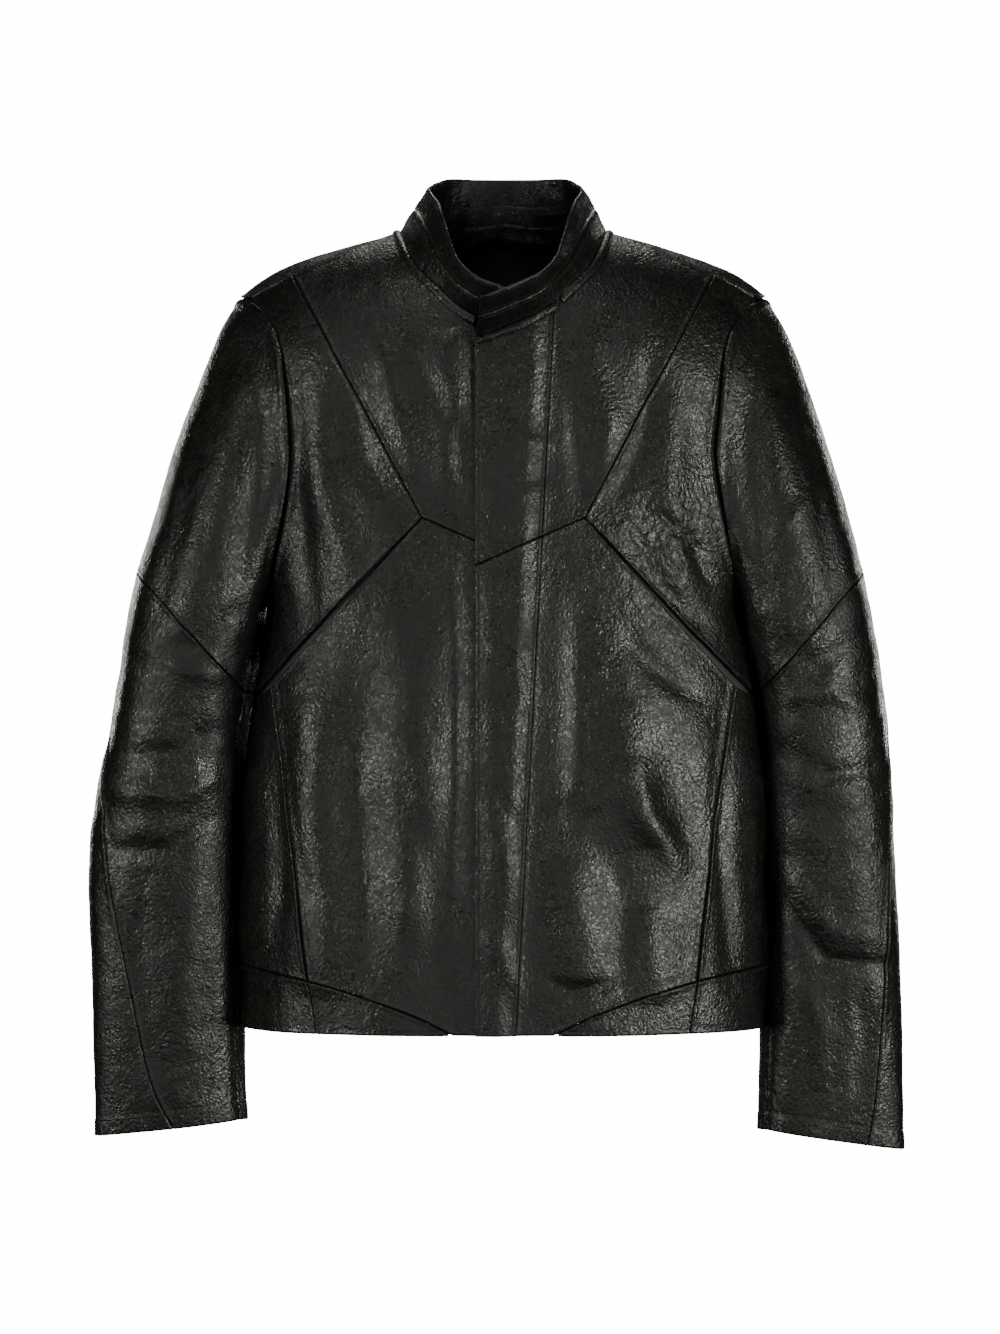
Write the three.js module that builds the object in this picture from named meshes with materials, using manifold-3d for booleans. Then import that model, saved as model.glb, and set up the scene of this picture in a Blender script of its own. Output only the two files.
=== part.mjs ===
// A slim leather jacket with a stand collar and a fly front over a zip, as an assembly of its cut pieces.
// Millimetres, +Z up. The front faces -Y and +X is the wearer's left. The origin is the centre back neck
// point, where the collar meets the back, from which a garment is measured.
//
// The torso and the sleeves are each drafted as one surface. A layer of leather or cloth lies between two
// offsets of it, measured outwards, and is parted along the seam lines, drafted in front view as [x, z].
import * as THREE from "three";
import { mergeVertices } from "three/addons/utils/BufferGeometryUtils.js";
import Module from "manifold-3d";

const wasm = await Module();
wasm.setup();

// ---- driving sizes ----
const SHOULDER_WIDTH = 430; // shoulder point to shoulder point
const BODY_LENGTH = 646; // centre back neck point down to the hem
const SLEEVE_DROP = 740; // centre back neck point down to the end of the cuff
const FRONT_DEPTH = 92; // shoulder ridge forward to the chest
const BACK_DEPTH = 95; // shoulder ridge back to the shoulder blades
const CUFF_DEPTH = 34; // the cuff front to back, lying nearly flat
const COLLAR_RISE = 47.6; // top edge of the collar above the back neck seam
const LEATHER = 1.5; // shell leather
const FACING = 1.2; // facings and pocket bags
const LINING = 0.6; // lining cloth
const COLLAR_THICK = 3; // two layers of leather and a stiffener
const CLEARANCE = 0.3; // between layers that lie on each other
const SEAM_GAP = 0.2; // each edge stands this far back from its seam line

// ---- the layers, from the outside in, as offsets from the shell's outer face ----
const SHELL = [0, -LEATHER];
const FACING_LAYER = [SHELL[1] - CLEARANCE, SHELL[1] - CLEARANCE - FACING];
const LINING_LAYER = [FACING_LAYER[1] - CLEARANCE, FACING_LAYER[1] - CLEARANCE - LINING];
const LABEL_LAYER = [FACING_LAYER[1] - CLEARANCE, FACING_LAYER[1] - CLEARANCE - 0.5];

// ---- the draft's base size; other sizes grade it in proportion ----
const BASE = { shoulder: 430, body: 646, sleeve: 740, rise: 47.6 };
const gradeX = SHOULDER_WIDTH / BASE.shoulder;
const gradeZ = BODY_LENGTH / BASE.body;
const x = (mm) => mm * gradeX;
const z = (mm) => mm * gradeZ;

// ---- fly and zip ----
const FLY_OVERLAP = x(22); // free edge of the fly, past the centre front
const FLY_RISE = 5.5; // the fly's face above the shell beside it, over the zip pull
const FLY_THICK = 2; // a folded edge, two layers skived
const FLY_RAMP = 7; // width over which the fly climbs to its full rise
const FLY_LAP = 1; // width by which its sewn foot lies over the front beside it
const ZIP_X = -5; // centre of the zip
const ZIP_OPENING = 6.5; // zip centre to the leather edge on each side
const TAPE_WIDTH = 14;
const TOOTH_WIDTH = 2.4;
const TOOTH_THICK = 2.4;
const TEETH_GAP = 1.2; // between the two rows, for the slider's neck
const SLIDER = { width: 9, length: 12, plate: 1.1, neck: 0.6 };
const PULL = { width: 6, length: 20, thick: 0.8, eye: 1.7, pin: 1.3 };

const DEG = Math.PI / 180;
const lerp = THREE.MathUtils.lerp;
const smooth = (t, a, b) => THREE.MathUtils.smoothstep(t, a, b);
const clamp01 = (t) => Math.min(1, Math.max(0, t));

// A smooth function through [at, value] knots, sorted by at.
function through(knots) {
  const slope = (i) => {
    const a = knots[Math.max(0, i - 1)];
    const b = knots[Math.min(knots.length - 1, i + 1)];
    return (b[1] - a[1]) / (b[0] - a[0]);
  };
  return (at) => {
    const last = knots.length - 2;
    const i = Math.min(last, Math.max(0, knots.findIndex((k) => k[0] > at) - 1));
    const k = knots.findIndex((q) => q[0] > at) === -1 ? last : i;
    const [x0, y0] = knots[k];
    const [x1, y1] = knots[k + 1];
    const w = x1 - x0;
    const t = clamp01((at - x0) / w);
    const t2 = t * t;
    const t3 = t2 * t;
    return (2 * t3 - 3 * t2 + 1) * y0 + (t3 - 2 * t2 + t) * w * slope(k) +
      (3 * t2 - 2 * t3) * y1 + (t3 - t2) * w * slope(k + 1);
  };
}

// A curve through points of any number of coordinates; t runs 0 to 1, evenly from point to point.
function along(points) {
  const last = points.length - 1;
  const tracks = points[0].map((_, axis) => through(points.map((p, i) => [i / last, p[axis]])));
  return (t) => tracks.map((f) => f(t));
}

// ================= the torso =================
const SIDE_POWER = 2.6; // above 2, flatter in front and rounder at the side
const HALF_SHOULDER = SHOULDER_WIDTH / 2;
const RIDGE = { top: 26, slope: 0.26, fall: 19, power: 8 }; // height of the shoulder ridge over x
const ROLL = 114; // height over which the shoulder rounds into the chest
const HEM_Z = -BODY_LENGTH;
const ARMPIT = [x(194), z(-300)];
const SHOULDER_POINT = [HALF_SHOULDER, z(-49)];

const halfWidth = through([
  [-646, 215], [-560, 215.5], [-485, 214], [-428, 211], [-370, 204], [-330, 197], [-300, 194],
  [-230, 206], [-170, 214], [-100, 226], [-49, 232], [30, 236],
].map(([h, w]) => [z(h), x(w)]));

const backDepth = through([
  [-646, 0.78], [-480, 0.8], [-330, 0.88], [-180, 1], [-60, 0.97], [0, 0.905], [30, 0.88],
].map(([h, share]) => [z(h), share * BACK_DEPTH]));

const depthAt = (height, back) => (back ? backDepth(height) : FRONT_DEPTH);
const ridgeZ = (px) => z(RIDGE.top - (RIDGE.slope * Math.abs(px)) / gradeX -
  RIDGE.fall * (Math.abs(px) / HALF_SHOULDER) ** RIDGE.power);
const sideShare = (px, pz) => 1 - (Math.abs(px) / halfWidth(pz)) ** SIDE_POWER;
const ridgeShare = (px, pz) => {
  const t = Math.min(1, (ridgeZ(px) - pz) / z(ROLL));
  return 1 - (1 - t) ** 2;
};

// Zero on the torso's surface, positive outside; its gradient is the outward normal.
function torsoField(px, py, pz) {
  return py * py - depthAt(pz, py > 0) ** 2 * sideShare(px, pz) * ridgeShare(px, pz);
}

function torsoNormal(p) {
  const d = 0.05;
  return new THREE.Vector3(
    torsoField(p.x + d, p.y, p.z) - torsoField(p.x - d, p.y, p.z),
    torsoField(p.x, p.y + d, p.z) - torsoField(p.x, p.y - d, p.z),
    torsoField(p.x, p.y, p.z + d) - torsoField(p.x, p.y, p.z - d),
  ).normalize();
}

const torsoHalfDepth = (px, pz, back) =>
  depthAt(pz, back) * Math.sqrt(Math.max(0, sideShare(px, pz)) * Math.max(0, ridgeShare(px, pz)));

// A point at x and z of the front or the back.
function torsoAt(px, pz, back = false) {
  const py = (back ? 1 : -1) * torsoHalfDepth(px, pz, back);
  const p = new THREE.Vector3(px, py, pz);
  return { p, n: torsoNormal(p) };
}

// The same by angle over the shoulder ridge: 0 on the ridge, positive to the back, negative to the front.
function torsoOver(px, over) {
  const a = Math.abs(over);
  const pz = ridgeZ(px) - z(ROLL) * (a < Math.PI / 2 ? 1 - Math.cos(a) : 1 + a - Math.PI / 2);
  const back = over > 0;
  const share = Math.sqrt(Math.max(0, sideShare(px, pz))) * (a < Math.PI / 2 ? Math.sin(a) : 1);
  const p = new THREE.Vector3(px, (back ? 1 : -1) * depthAt(pz, back) * share, pz);
  return { p, n: torsoNormal(p) };
}

// ---- seam lines on the torso, for x >= 0, as [x, z] ----
const FLY_TOP_X = x(41);
const FLY_HEM_X = x(10);
const YOKE_SLOPE = 0.44;
const YOKE_POINT = [x(65), z(-233)]; // where the three front seams meet
const SHOULDER_END = [x(171), z(-34)]; // where the chest seam meets the shoulder seam
const SHOULDER_TIP = [x(205), z(-51)];
const CHEST_END = [halfWidth(z(-377)), z(-377)];
const POCKET_TOP = [x(187), z(-367.6)];
const POCKET_HEM_X = x(150);
const POCKET_MOUTH = [z(-400), z(-552)]; // top and bottom of the mouth, down the pocket seam

const flyX = (pz) => lerp(FLY_HEM_X, FLY_TOP_X, (pz - HEM_Z) / (z(-57) - HEM_Z));
const yokeZ = (px) => YOKE_POINT[1] - (YOKE_SLOPE * (YOKE_POINT[0] - px) * gradeZ) / gradeX;
const pocketX = (pz) => lerp(POCKET_HEM_X, POCKET_TOP[0], (pz - HEM_Z) / (POCKET_TOP[1] - HEM_Z));
const hemSeam = through([[40, -646], [76, -629], [150, -606], [216, -594]].map(([a, b]) => [x(a), z(b)]));
const HEM_TIP_X = x(40);
const POCKET_FOOT_Z = hemSeam(pocketX(z(-606)));

// The neck seam as [x, angle over the ridge] from the centre back to the front end of one side.
const neckCurve = along([
  [0, 39.5], [30, 37.5], [60, 27], [77, 13], [83, 0], [82, -15],
  [79, -28], [71, -45], [53, -60.6], [30, -75], [0, -86], [-22, -87.5],
].map(([a, over]) => [x(a), over * DEG]));
const NECK_RIDGE = 4 / 11; // t where the neck seam crosses the ridge
const neckZ = (t) => {
  const [px, over] = neckCurve(t);
  return ridgeZ(px) - z(ROLL) * (1 - Math.cos(over));
};
// t where the front of the neck seam stands at a given x.
function neckAtX(px) {
  let lo = NECK_RIDGE;
  let hi = 1;
  for (let i = 0; i < 40; i += 1) {
    const mid = (lo + hi) / 2;
    if (neckCurve(mid)[0] > px) lo = mid;
    else hi = mid;
  }
  return lo;
}
const neckFront = (px) => neckZ(neckAtX(px));

// The armhole seam, from the shoulder (c = 1) to the armpit (c = -1), bowed into the chest.
const ARMHOLE_BOW = x(34.5);
const bowAt = (c) => ARMHOLE_BOW * (1 - Math.abs(c) ** (c > 0 ? 7 : 1.3));
function armhole(c) {
  const t = (1 + c) / 2;
  return [lerp(ARMPIT[0], SHOULDER_POINT[0], t) - bowAt(c), lerp(ARMPIT[1], SHOULDER_POINT[1], t)];
}

// ================= the sleeve =================
// Rings from the armhole to the cuff: outer end [x, z], inner end [x, z], half depth, and share of the
// armhole's bow.
const RINGS = [
  [215, -49, 194, -300, 60, 1], [227, -80, 197.5, -314, 61, 0.72], [245, -133, 200.5, -330, 62, 0.4],
  [268, -207, 205.5, -350, 62, 0.12], [287, -274, 211, -373, 58, 0], [303, -338, 215.5, -402, 52, 0],
  [318, -407, 217.5, -440, 46, 0], [327, -461, 219.5, -480, 41, 0], [331, -530, 220.5, -538, 35, 0],
  [331, -610, 221, -612, 28, 0], [330, -690, 219.5, -684, 21, 0], [329, -740, 218, -727, 17, 0],
];
const LAST_RING = RINGS.length - 1;
const UPPER_SEAM = 4; // ring of the slanting seam above the elbow
const ELBOW_END = 7.3; // ring where the bending stretch of the sleeve ends
const SECTION_POWER = 0.88; // below 1, fuller than an ellipse
const sleeveStretch = SLEEVE_DROP - BASE.sleeve * gradeZ;
const ring = along(RINGS.map(([ox, oz, ix, iz, depth, bow], i) => {
  const t = i / LAST_RING;
  const lower = sleeveStretch * smooth(t, 0.1, 1);
  const half = lerp(depth, CUFF_DEPTH / 2, i === LAST_RING ? 1 : 0);
  return [x(ox), z(oz) - lower, x(ix), z(iz) - lower, half, bow];
}));
const rounded = (a) => Math.sign(a) * Math.abs(a) ** SECTION_POWER;

// v is the ring, w the angle round it: 0 at the outer end, 90 in front, 180 at the inner end, 270 behind.
function sleevePoint(v, w) {
  const c = rounded(Math.cos(w));
  const s = rounded(Math.sin(w));
  const [ox, oz, ix, iz, half, bow] = ring(clamp01(v / LAST_RING));
  const t = (1 + c) / 2;
  const [ax, az] = armhole(c);
  const seam = torsoHalfDepth(ax, az, s < 0);
  const deep = lerp(seam, half * Math.abs(s), smooth(v, 0, 1.1));
  return new THREE.Vector3(lerp(ix, ox, t) - bow * bowAt(c), -Math.sign(s) * deep, lerp(iz, oz, t));
}

function sleeveAt(v, w) {
  const dv = 0.02;
  const dw = 0.02;
  const p = sleevePoint(v, w);
  const down = sleevePoint(v + dv, w).sub(sleevePoint(Math.max(0, v - dv), w));
  const round = sleevePoint(v, w + dw).sub(sleevePoint(v, w - dw));
  const n = round.cross(down).normalize();
  const axis = new THREE.Vector3();
  for (let i = 0; i < 4; i += 1) axis.add(sleevePoint(v, (i * Math.PI) / 2).multiplyScalar(0.25));
  if (n.dot(p.clone().sub(axis)) < 0) n.negate();
  return { p, n };
}

// ================= the collar =================
// The top edge as [x, y, z] beside the neck seam's points.
const COLLAR_TOP = [
  [0, 42, 47.6], [28, 39, 47.5], [46, 27, 46.5], [57, 8, 41], [62, -16, 34], [60, -34, 27],
  [54, -54, 16], [47, -76, -5], [39, -98, -27], [24, -116, -43], [0, -124, -54], [-20, -126, -62],
];
const OVERLAP_STEP = 7.5; // the left end lies this far outside the right end
const RIGHT_END = 0.925; // share of the drafted half at which the right end stops, behind the fly
const COLLAR_SEAM = 0.5; // share of the height where the stand meets the top band
const neckBase = (t) => torsoOver(...neckCurve(t)).p;
const collarTop = along(COLLAR_TOP.map(([a, b, c], i) => {
  const base = neckBase(i / (COLLAR_TOP.length - 1));
  const rise = COLLAR_RISE / BASE.rise;
  const draft = new THREE.Vector3(x(a), b, z(c));
  return [lerp(base.x, draft.x, rise), lerp(base.y, draft.y, rise), lerp(base.z, draft.z, rise)];
}));

// t runs -1 at the right front end, 0 at the centre back, 1 at the left front end, and h runs 0 to 1 up the
// collar.
function collarPoint(t, h) {
  const side = t < 0 ? -1 : 1;
  const a = t < 0 ? -t * RIGHT_END : t;
  const base = neckBase(a);
  const top = new THREE.Vector3(...collarTop(a));
  const p = base.lerp(top, h);
  p.y -= side > 0 ? OVERLAP_STEP * smooth(a, 0.62, 0.8) : 0;
  p.x *= side;
  return p;
}

function collarAt(t, h) {
  const p = collarPoint(t, h);
  const d = 0.01;
  const across = collarPoint(Math.min(1, t + d), h).sub(collarPoint(Math.max(-1, t - d), h));
  const up = collarPoint(t, h + d).sub(collarPoint(t, h - d));
  return { p, n: across.cross(up).normalize().negate() };
}

// ================= solids =================
const jacket = new THREE.Group();
jacket.position.y = -neckBase(0).y;

const finish = (name, color, roughness, metalness = 0) =>
  new THREE.MeshStandardMaterial({ name, color, roughness, metalness });
const MATERIAL = {
  shell: finish("shell_leather", 0x171612, 0.42),
  facing: finish("facing_leather", 0x1b1a17, 0.5),
  lining: finish("lining_cloth", 0x0f0f11, 0.6),
  tape: finish("zip_tape", 0x111112, 0.85),
  metal: finish("zip_metal", 0x3a3936, 0.35, 1),
  label: finish("label_cloth", 0x0c0c0e, 0.7),
};
const SIDES = [["left", 1], ["right", -1]];

// Collects triangles with shared vertices, and drops those that a pointed end has collapsed.
class Skin {
  constructor() {
    this.points = [];
    this.faces = [];
    this.known = new Map();
  }

  vertex(p) {
    const key = [p.x, p.y, p.z].map((v) => Math.round(v * 500)).join();
    if (!this.known.has(key)) {
      this.known.set(key, this.points.length / 3);
      this.points.push(p.x, p.y, p.z);
    }
    return this.known.get(key);
  }

  triangle(a, b, c) {
    if (a !== b && b !== c && a !== c) this.faces.push(a, b, c);
  }

  quad(a, b, c, d) {
    this.triangle(a, b, c);
    this.triangle(a, c, d);
  }

  geometry() {
    const p = (i) => new THREE.Vector3().fromArray(this.points, 3 * i);
    let volume = 0;
    for (let i = 0; i < this.faces.length; i += 3) {
      volume += p(this.faces[i]).dot(p(this.faces[i + 1]).cross(p(this.faces[i + 2])));
    }
    if (volume < 0) this.faces.reverse();
    return new THREE.BufferGeometry()
      .setAttribute("position", new THREE.Float32BufferAttribute(this.points, 3))
      .setIndex(this.faces);
  }
}

// ---- between three.js geometry and manifold-3d solids ----
function solid(geometry) {
  const bare = geometry.clone();
  bare.deleteAttribute("normal");
  bare.deleteAttribute("uv");
  const merged = mergeVertices(bare, 1e-4);
  return new wasm.Manifold(new wasm.Mesh({
    numProp: 3,
    vertProperties: new Float32Array(merged.attributes.position.array),
    triVerts: new Uint32Array(merged.index.array),
  }));
}

// The main body of a solid, without slivers that a cut has left.
function geometryOf(made) {
  const [body] = made.decompose().sort((a, b) => b.volume() - a.volume());
  const { vertProperties, triVerts } = body.getMesh();
  return new THREE.BufferGeometry()
    .setAttribute("position", new THREE.BufferAttribute(vertProperties, 3))
    .setIndex(new THREE.BufferAttribute(triVerts, 1));
}

// A piece is drafted on the wearer's left; side -1 mirrors it to the right.
function add(name, material, geometry, side = 1) {
  const shape = geometry.index ? geometry : mergeVertices(geometry);
  if (side < 0) {
    shape.scale(-1, 1, 1);
    shape.index.array.reverse();
  }
  const mesh = new THREE.Mesh(shape, material);
  mesh.name = name;
  jacket.add(mesh);
  return mesh;
}

// A front-view outline as a prism along Y.
function prism(outline, y0, y1) {
  const shape = new THREE.Shape(outline.map(([a, b]) => new THREE.Vector2(a, b)));
  const geometry = new THREE.ExtrudeGeometry(shape, { depth: y1 - y0, bevelEnabled: false });
  return geometry.rotateX(Math.PI / 2).translate(0, y1, 0);
}
const FAR = 500;
const front = (outline) => solid(prism(outline, -FAR, 0));
const back = (outline) => solid(prism(outline, 0, FAR));
const bothWays = (outline) => solid(prism(outline, -FAR, FAR));
const slab = (x0, x1, y0, y1, z0, z1) =>
  solid(new THREE.BoxGeometry(x1 - x0, y1 - y0, z1 - z0)
    .translate((x0 + x1) / 2, (y0 + y1) / 2, (z0 + z1) / 2));
const sample = (f, n, from = 0, to = 1) => Array.from({ length: n + 1 }, (_, i) => f(lerp(from, to, i / n)));

// The thin wall along a seam line that parts the pieces on either side, run on a little past both ends.
function seamWall(line, width = 2 * SEAM_GAP) {
  const points = line.map(([a, b]) => new THREE.Vector2(a, b));
  const last = points.length - 1;
  const normals = points.map((p, i) => {
    const heading = points[Math.min(last, i + 1)].clone().sub(points[Math.max(0, i - 1)]).normalize();
    return new THREE.Vector2(-heading.y, heading.x).multiplyScalar(width / 2);
  });
  const run = width / 2;
  points[0].add(points[0].clone().sub(points[1]).normalize().multiplyScalar(run));
  points[last].add(points[last].clone().sub(points[last - 1]).normalize().multiplyScalar(run));
  const sideA = points.map((p, i) => p.clone().add(normals[i]).toArray());
  const sideB = points.map((p, i) => p.clone().sub(normals[i]).toArray());
  return [...sideA, ...sideB.reverse()];
}

// ---- the torso as a closed solid at an offset; the inner one of a pair runs on below the hem ----
const TORSO_COLUMNS = 8; // centre to side
const TORSO_ROWS = { straight: 8, roll: 5 };
function torsoSolid(offset, open = 0) {
  const skin = new Skin();
  const rows = TORSO_ROWS.straight + TORSO_ROWS.roll;
  const grid = [];
  for (let i = -TORSO_COLUMNS; i <= TORSO_COLUMNS; i += 1) {
    const share = Math.sin((Math.abs(i) / TORSO_COLUMNS) * (Math.PI / 2)) ** (2 / SIDE_POWER);
    let ridge = 0;
    for (let k = 0; k < 8; k += 1) ridge = ridgeZ(share * halfWidth(ridge));
    const column = [];
    for (let j = 0; j <= 2 * rows; j += 1) {
      const up = Math.min(j, 2 * rows - j);
      const roll = 1 - (up - TORSO_ROWS.straight) / TORSO_ROWS.roll;
      const pz = up < TORSO_ROWS.straight
        ? lerp(HEM_Z, ridge - z(ROLL), up / TORSO_ROWS.straight)
        : ridge - z(ROLL) * (1 - Math.cos((roll * Math.PI) / 2));
      const px = Math.sign(i) * Math.min(share * halfWidth(pz), halfWidth(pz) * 0.9999999);
      const { p, n } = torsoAt(px, pz, j > rows);
      if (i === -TORSO_COLUMNS || i === TORSO_COLUMNS) p.y = 0;
      if (i === -TORSO_COLUMNS || i === TORSO_COLUMNS || up === rows) n.y = 0;
      n.normalize();
      p.addScaledVector(n, offset);
      if (up === 0) p.z = HEM_Z;
      column.push(skin.vertex(p));
      if (up === 0 && open) {
        p.z -= open;
        if (j === 0) column.unshift(skin.vertex(p));
        else column.push(skin.vertex(p));
      }
    }
    grid.push(column);
  }
  for (let i = 0; i < grid.length - 1; i += 1) {
    for (let j = 0; j < grid[0].length - 1; j += 1) {
      skin.quad(grid[i][j], grid[i + 1][j], grid[i + 1][j + 1], grid[i][j + 1]);
    }
    const end = grid[0].length - 1;
    skin.quad(grid[i][end], grid[i + 1][end], grid[i + 1][0], grid[i][0]);
  }
  return solid(skin.geometry());
}

const neckHole = (grow) => {
  const frontLine = sample(neckCurve, 14, NECK_RIDGE, neckAtX(0)).map(([px], i) =>
    [px, neckZ(lerp(NECK_RIDGE, neckAtX(0), i / 14))]);
  const backLine = sample(neckCurve, 7, 0, NECK_RIDGE)
    .map(([px], i) => [px, neckZ(lerp(0, NECK_RIDGE, i / 7))]);
  const half = (line) => line.map(([a, b]) => [a + (a > 1 ? grow : 0), b - grow]);
  const whole = (line) => {
    const right = half(line).map(([a, b]) => [-a, b]).reverse();
    return [...half(line), ...right.slice(line[line.length - 1][0] < 1 ? 1 : 0)];
  };
  const frontHalf = whole(frontLine);
  const edge = frontHalf[0][0];
  const backHalf = [...half(backLine).map(([a, b]) => [-a, b]).reverse(), ...half(backLine).slice(1)];
  return [
    front([[edge, z(100)], ...frontHalf, [-edge, z(100)]]),
    back([[-edge, z(100)], ...backHalf, [edge, z(100)]]),
  ];
};

const armholeLine = (out) => sample(armhole, 14, 1, -1).map(([a, b]) => [a + out, b]);
// Everything beyond the armhole, for x > 0; out moves its edge off the seam.
const beyondArmhole = (out) => {
  const line = armholeLine(out);
  return [[line[0][0] + 10 * out, z(100)], ...line, [FAR, ARMPIT[1]], [FAR, z(100)]];
};

function torsoLayer([outer, inner], neckGrow, armholeOut) {
  let layer = torsoSolid(outer).subtract(torsoSolid(inner, 8));
  for (const hole of neckHole(neckGrow)) layer = layer.subtract(hole);
  const outline = beyondArmhole(armholeOut);
  layer = layer.subtract(bothWays(outline));
  return layer.subtract(bothWays(outline.map(([a, b]) => [-a, b]).reverse()));
}

// ---- shell panels of the torso ----
const frontEdgeX = (side, pz) => (side > 0 ? flyX(pz) : ZIP_OPENING - ZIP_X);
const SIDE_X = HALF_SHOULDER + 40;
const onHem = (px) => [px, HEM_Z - 20];
const shoulderLine = [[x(60), z(6)], [neckCurve(NECK_RIDGE + 0.02)[0], neckZ(NECK_RIDGE + 0.02)],
  SHOULDER_END, SHOULDER_TIP, [SIDE_X, z(-70)]];
const pocketLine = [POCKET_TOP, [pocketX(POCKET_FOOT_Z), POCKET_FOOT_Z], onHem(pocketX(HEM_Z - 20))];
const hemLine = sample((t) => {
  const px = lerp(HEM_TIP_X, SIDE_X, t);
  return [px, hemSeam(Math.min(px, x(216)))];
}, 12);
hemLine.unshift([HEM_TIP_X - 8, HEM_Z - 3]);
const yokeLine = (side) => {
  const edge = frontEdgeX(side, z(-260));
  return [[edge - 6, yokeZ(edge - 6)], YOKE_POINT];
};
const chestLine = [YOKE_POINT, SHOULDER_END];
const lowerChestLine = [YOKE_POINT, CHEST_END, [SIDE_X, CHEST_END[1] - 26]];

function frontPanels(shell, label, side) {
  const edge = [[frontEdgeX(side, z(40)), z(40)], [frontEdgeX(side, HEM_Z - 20), HEM_Z - 20]];
  let half = shell.intersect(front([edge[0], edge[1], onHem(SIDE_X), [SIDE_X, z(40)]]));
  const lines = [shoulderLine, pocketLine, hemLine, yokeLine(side), chestLine, lowerChestLine];
  for (const line of lines) half = half.subtract(front(seamWall(line)));
  half = half.subtract(front(seamWall(edge)));
  half = half.subtract(slab(x(150), SIDE_X, -SEAM_GAP, 1, HEM_Z - 20, z(-280)));
  const [shoulderEnd, top] = [SHOULDER_END, z(40)];
  const yokeFoot = yokeLine(side)[0];
  const panels = {
    front_yoke: [yokeFoot, YOKE_POINT, shoulderEnd, ...shoulderLine.slice(0, 2).reverse(), [x(40), top],
      [-10, top]],
    front_chest: [YOKE_POINT, CHEST_END, lowerChestLine[2], [SIDE_X, z(-70)], SHOULDER_TIP, shoulderEnd],
    front_lower: [yokeFoot, [yokeFoot[0], HEM_Z - 20], onHem(HEM_TIP_X - 4), ...hemLine.slice(0, 1),
      ...hemLine.slice(1).filter(([px]) => px < pocketX(POCKET_FOOT_Z)),
      [pocketX(POCKET_FOOT_Z), POCKET_FOOT_Z], POCKET_TOP, YOKE_POINT],
    front_side: [POCKET_TOP, [pocketX(POCKET_FOOT_Z), POCKET_FOOT_Z],
      ...hemLine.filter(([px]) => px > pocketX(POCKET_FOOT_Z)), lowerChestLine[2], CHEST_END],
    hem_front: [hemLine[0], onHem(HEM_TIP_X - 4), pocketLine[2], [pocketX(POCKET_FOOT_Z), POCKET_FOOT_Z],
      ...hemLine.slice(1).filter(([px]) => px < pocketX(POCKET_FOOT_Z)).reverse()],
    hem_side: [pocketLine[2], onHem(SIDE_X),
      ...hemLine.filter(([px]) => px > pocketX(POCKET_FOOT_Z)).reverse(),
      [pocketX(POCKET_FOOT_Z), POCKET_FOOT_Z]],
  };
  for (const [name, outline] of Object.entries(panels)) {
    add(`${name}_${label}`, MATERIAL.shell, geometryOf(half.intersect(front(outline))), side);
  }
}

const BACK_YOKE_Z = z(-150);
function backPanels(shell) {
  const bothSides = (line) => [line, line.map(([a, b]) => [-a, b])];
  let rear = shell;
  for (const line of bothSides(shoulderLine)) rear = rear.subtract(front(seamWall(line)));
  rear = rear.subtract(slab(-SIDE_X, SIDE_X, -1, SEAM_GAP, HEM_Z - 20, z(-280)));
  rear = rear.subtract(back(seamWall([[-SIDE_X, BACK_YOKE_Z], [SIDE_X, BACK_YOKE_Z]])));
  rear = rear.subtract(back(seamWall([[0, BACK_YOKE_Z], [0, HEM_Z - 20]])));
  const overFront = shoulderLine.map(([a, b]) => [-a, b]).reverse();
  const crown = solid(prism([...overFront, ...shoulderLine, [SIDE_X, z(100)], [-SIDE_X, z(100)]], -FAR, 1));
  const behind = back([[-SIDE_X, BACK_YOKE_Z], [SIDE_X, BACK_YOKE_Z], [SIDE_X, z(100)], [-SIDE_X, z(100)]]);
  add("back_yoke", MATERIAL.shell, geometryOf(rear.intersect(crown.add(behind))));
  const side = [[0, BACK_YOKE_Z], [0, HEM_Z - 20], onHem(SIDE_X), [SIDE_X, BACK_YOKE_Z]];
  const half = rear.intersect(back(side));
  for (const [label, sign] of SIDES) add(`back_${label}`, MATERIAL.shell, geometryOf(half), sign);
}

// ---- the fly, which covers the zip ----
// A sheet over s and t, 0 to 1 each, as a solid between two offsets. Its edges stand back from the seams.
function sheetGeometry(at, ns, nt, [outer, inner], gap = SEAM_GAP) {
  const span = (a, b) => Math.min(0.45, gap / Math.max(1e-6, a.p.distanceTo(b.p)));
  const value = (offset, p) => (typeof offset === "function" ? offset(p) : offset);
  const skin = new Skin();
  const layers = [[], []];
  for (let i = 0; i <= ns; i += 1) {
    layers.forEach((layer) => layer.push([]));
    for (let j = 0; j <= nt; j += 1) {
      const wide = span(at(0, j / nt), at(1, j / nt));
      const tall = span(at(i / ns, 0), at(i / ns, 1));
      const { p, n } = at(lerp(wide, 1 - wide, i / ns), lerp(tall, 1 - tall, j / nt));
      [outer, inner].forEach((offset, k) => {
        layers[k][i][j] = skin.vertex(p.clone().addScaledVector(n, value(offset, p)));
      });
    }
  }
  const [top, under] = layers;
  for (let i = 0; i < ns; i += 1) {
    for (let j = 0; j < nt; j += 1) {
      skin.quad(top[i][j], top[i + 1][j], top[i + 1][j + 1], top[i][j + 1]);
      skin.quad(under[i][j], under[i][j + 1], under[i + 1][j + 1], under[i + 1][j]);
    }
    skin.quad(top[i][0], under[i][0], under[i + 1][0], top[i + 1][0]);
    skin.quad(top[i][nt], top[i + 1][nt], under[i + 1][nt], under[i][nt]);
  }
  for (let j = 0; j < nt; j += 1) {
    skin.quad(top[0][j], top[0][j + 1], under[0][j + 1], under[0][j]);
    skin.quad(top[ns][j], under[ns][j], under[ns][j + 1], top[ns][j + 1]);
  }
  return skin.geometry();
}

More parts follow.
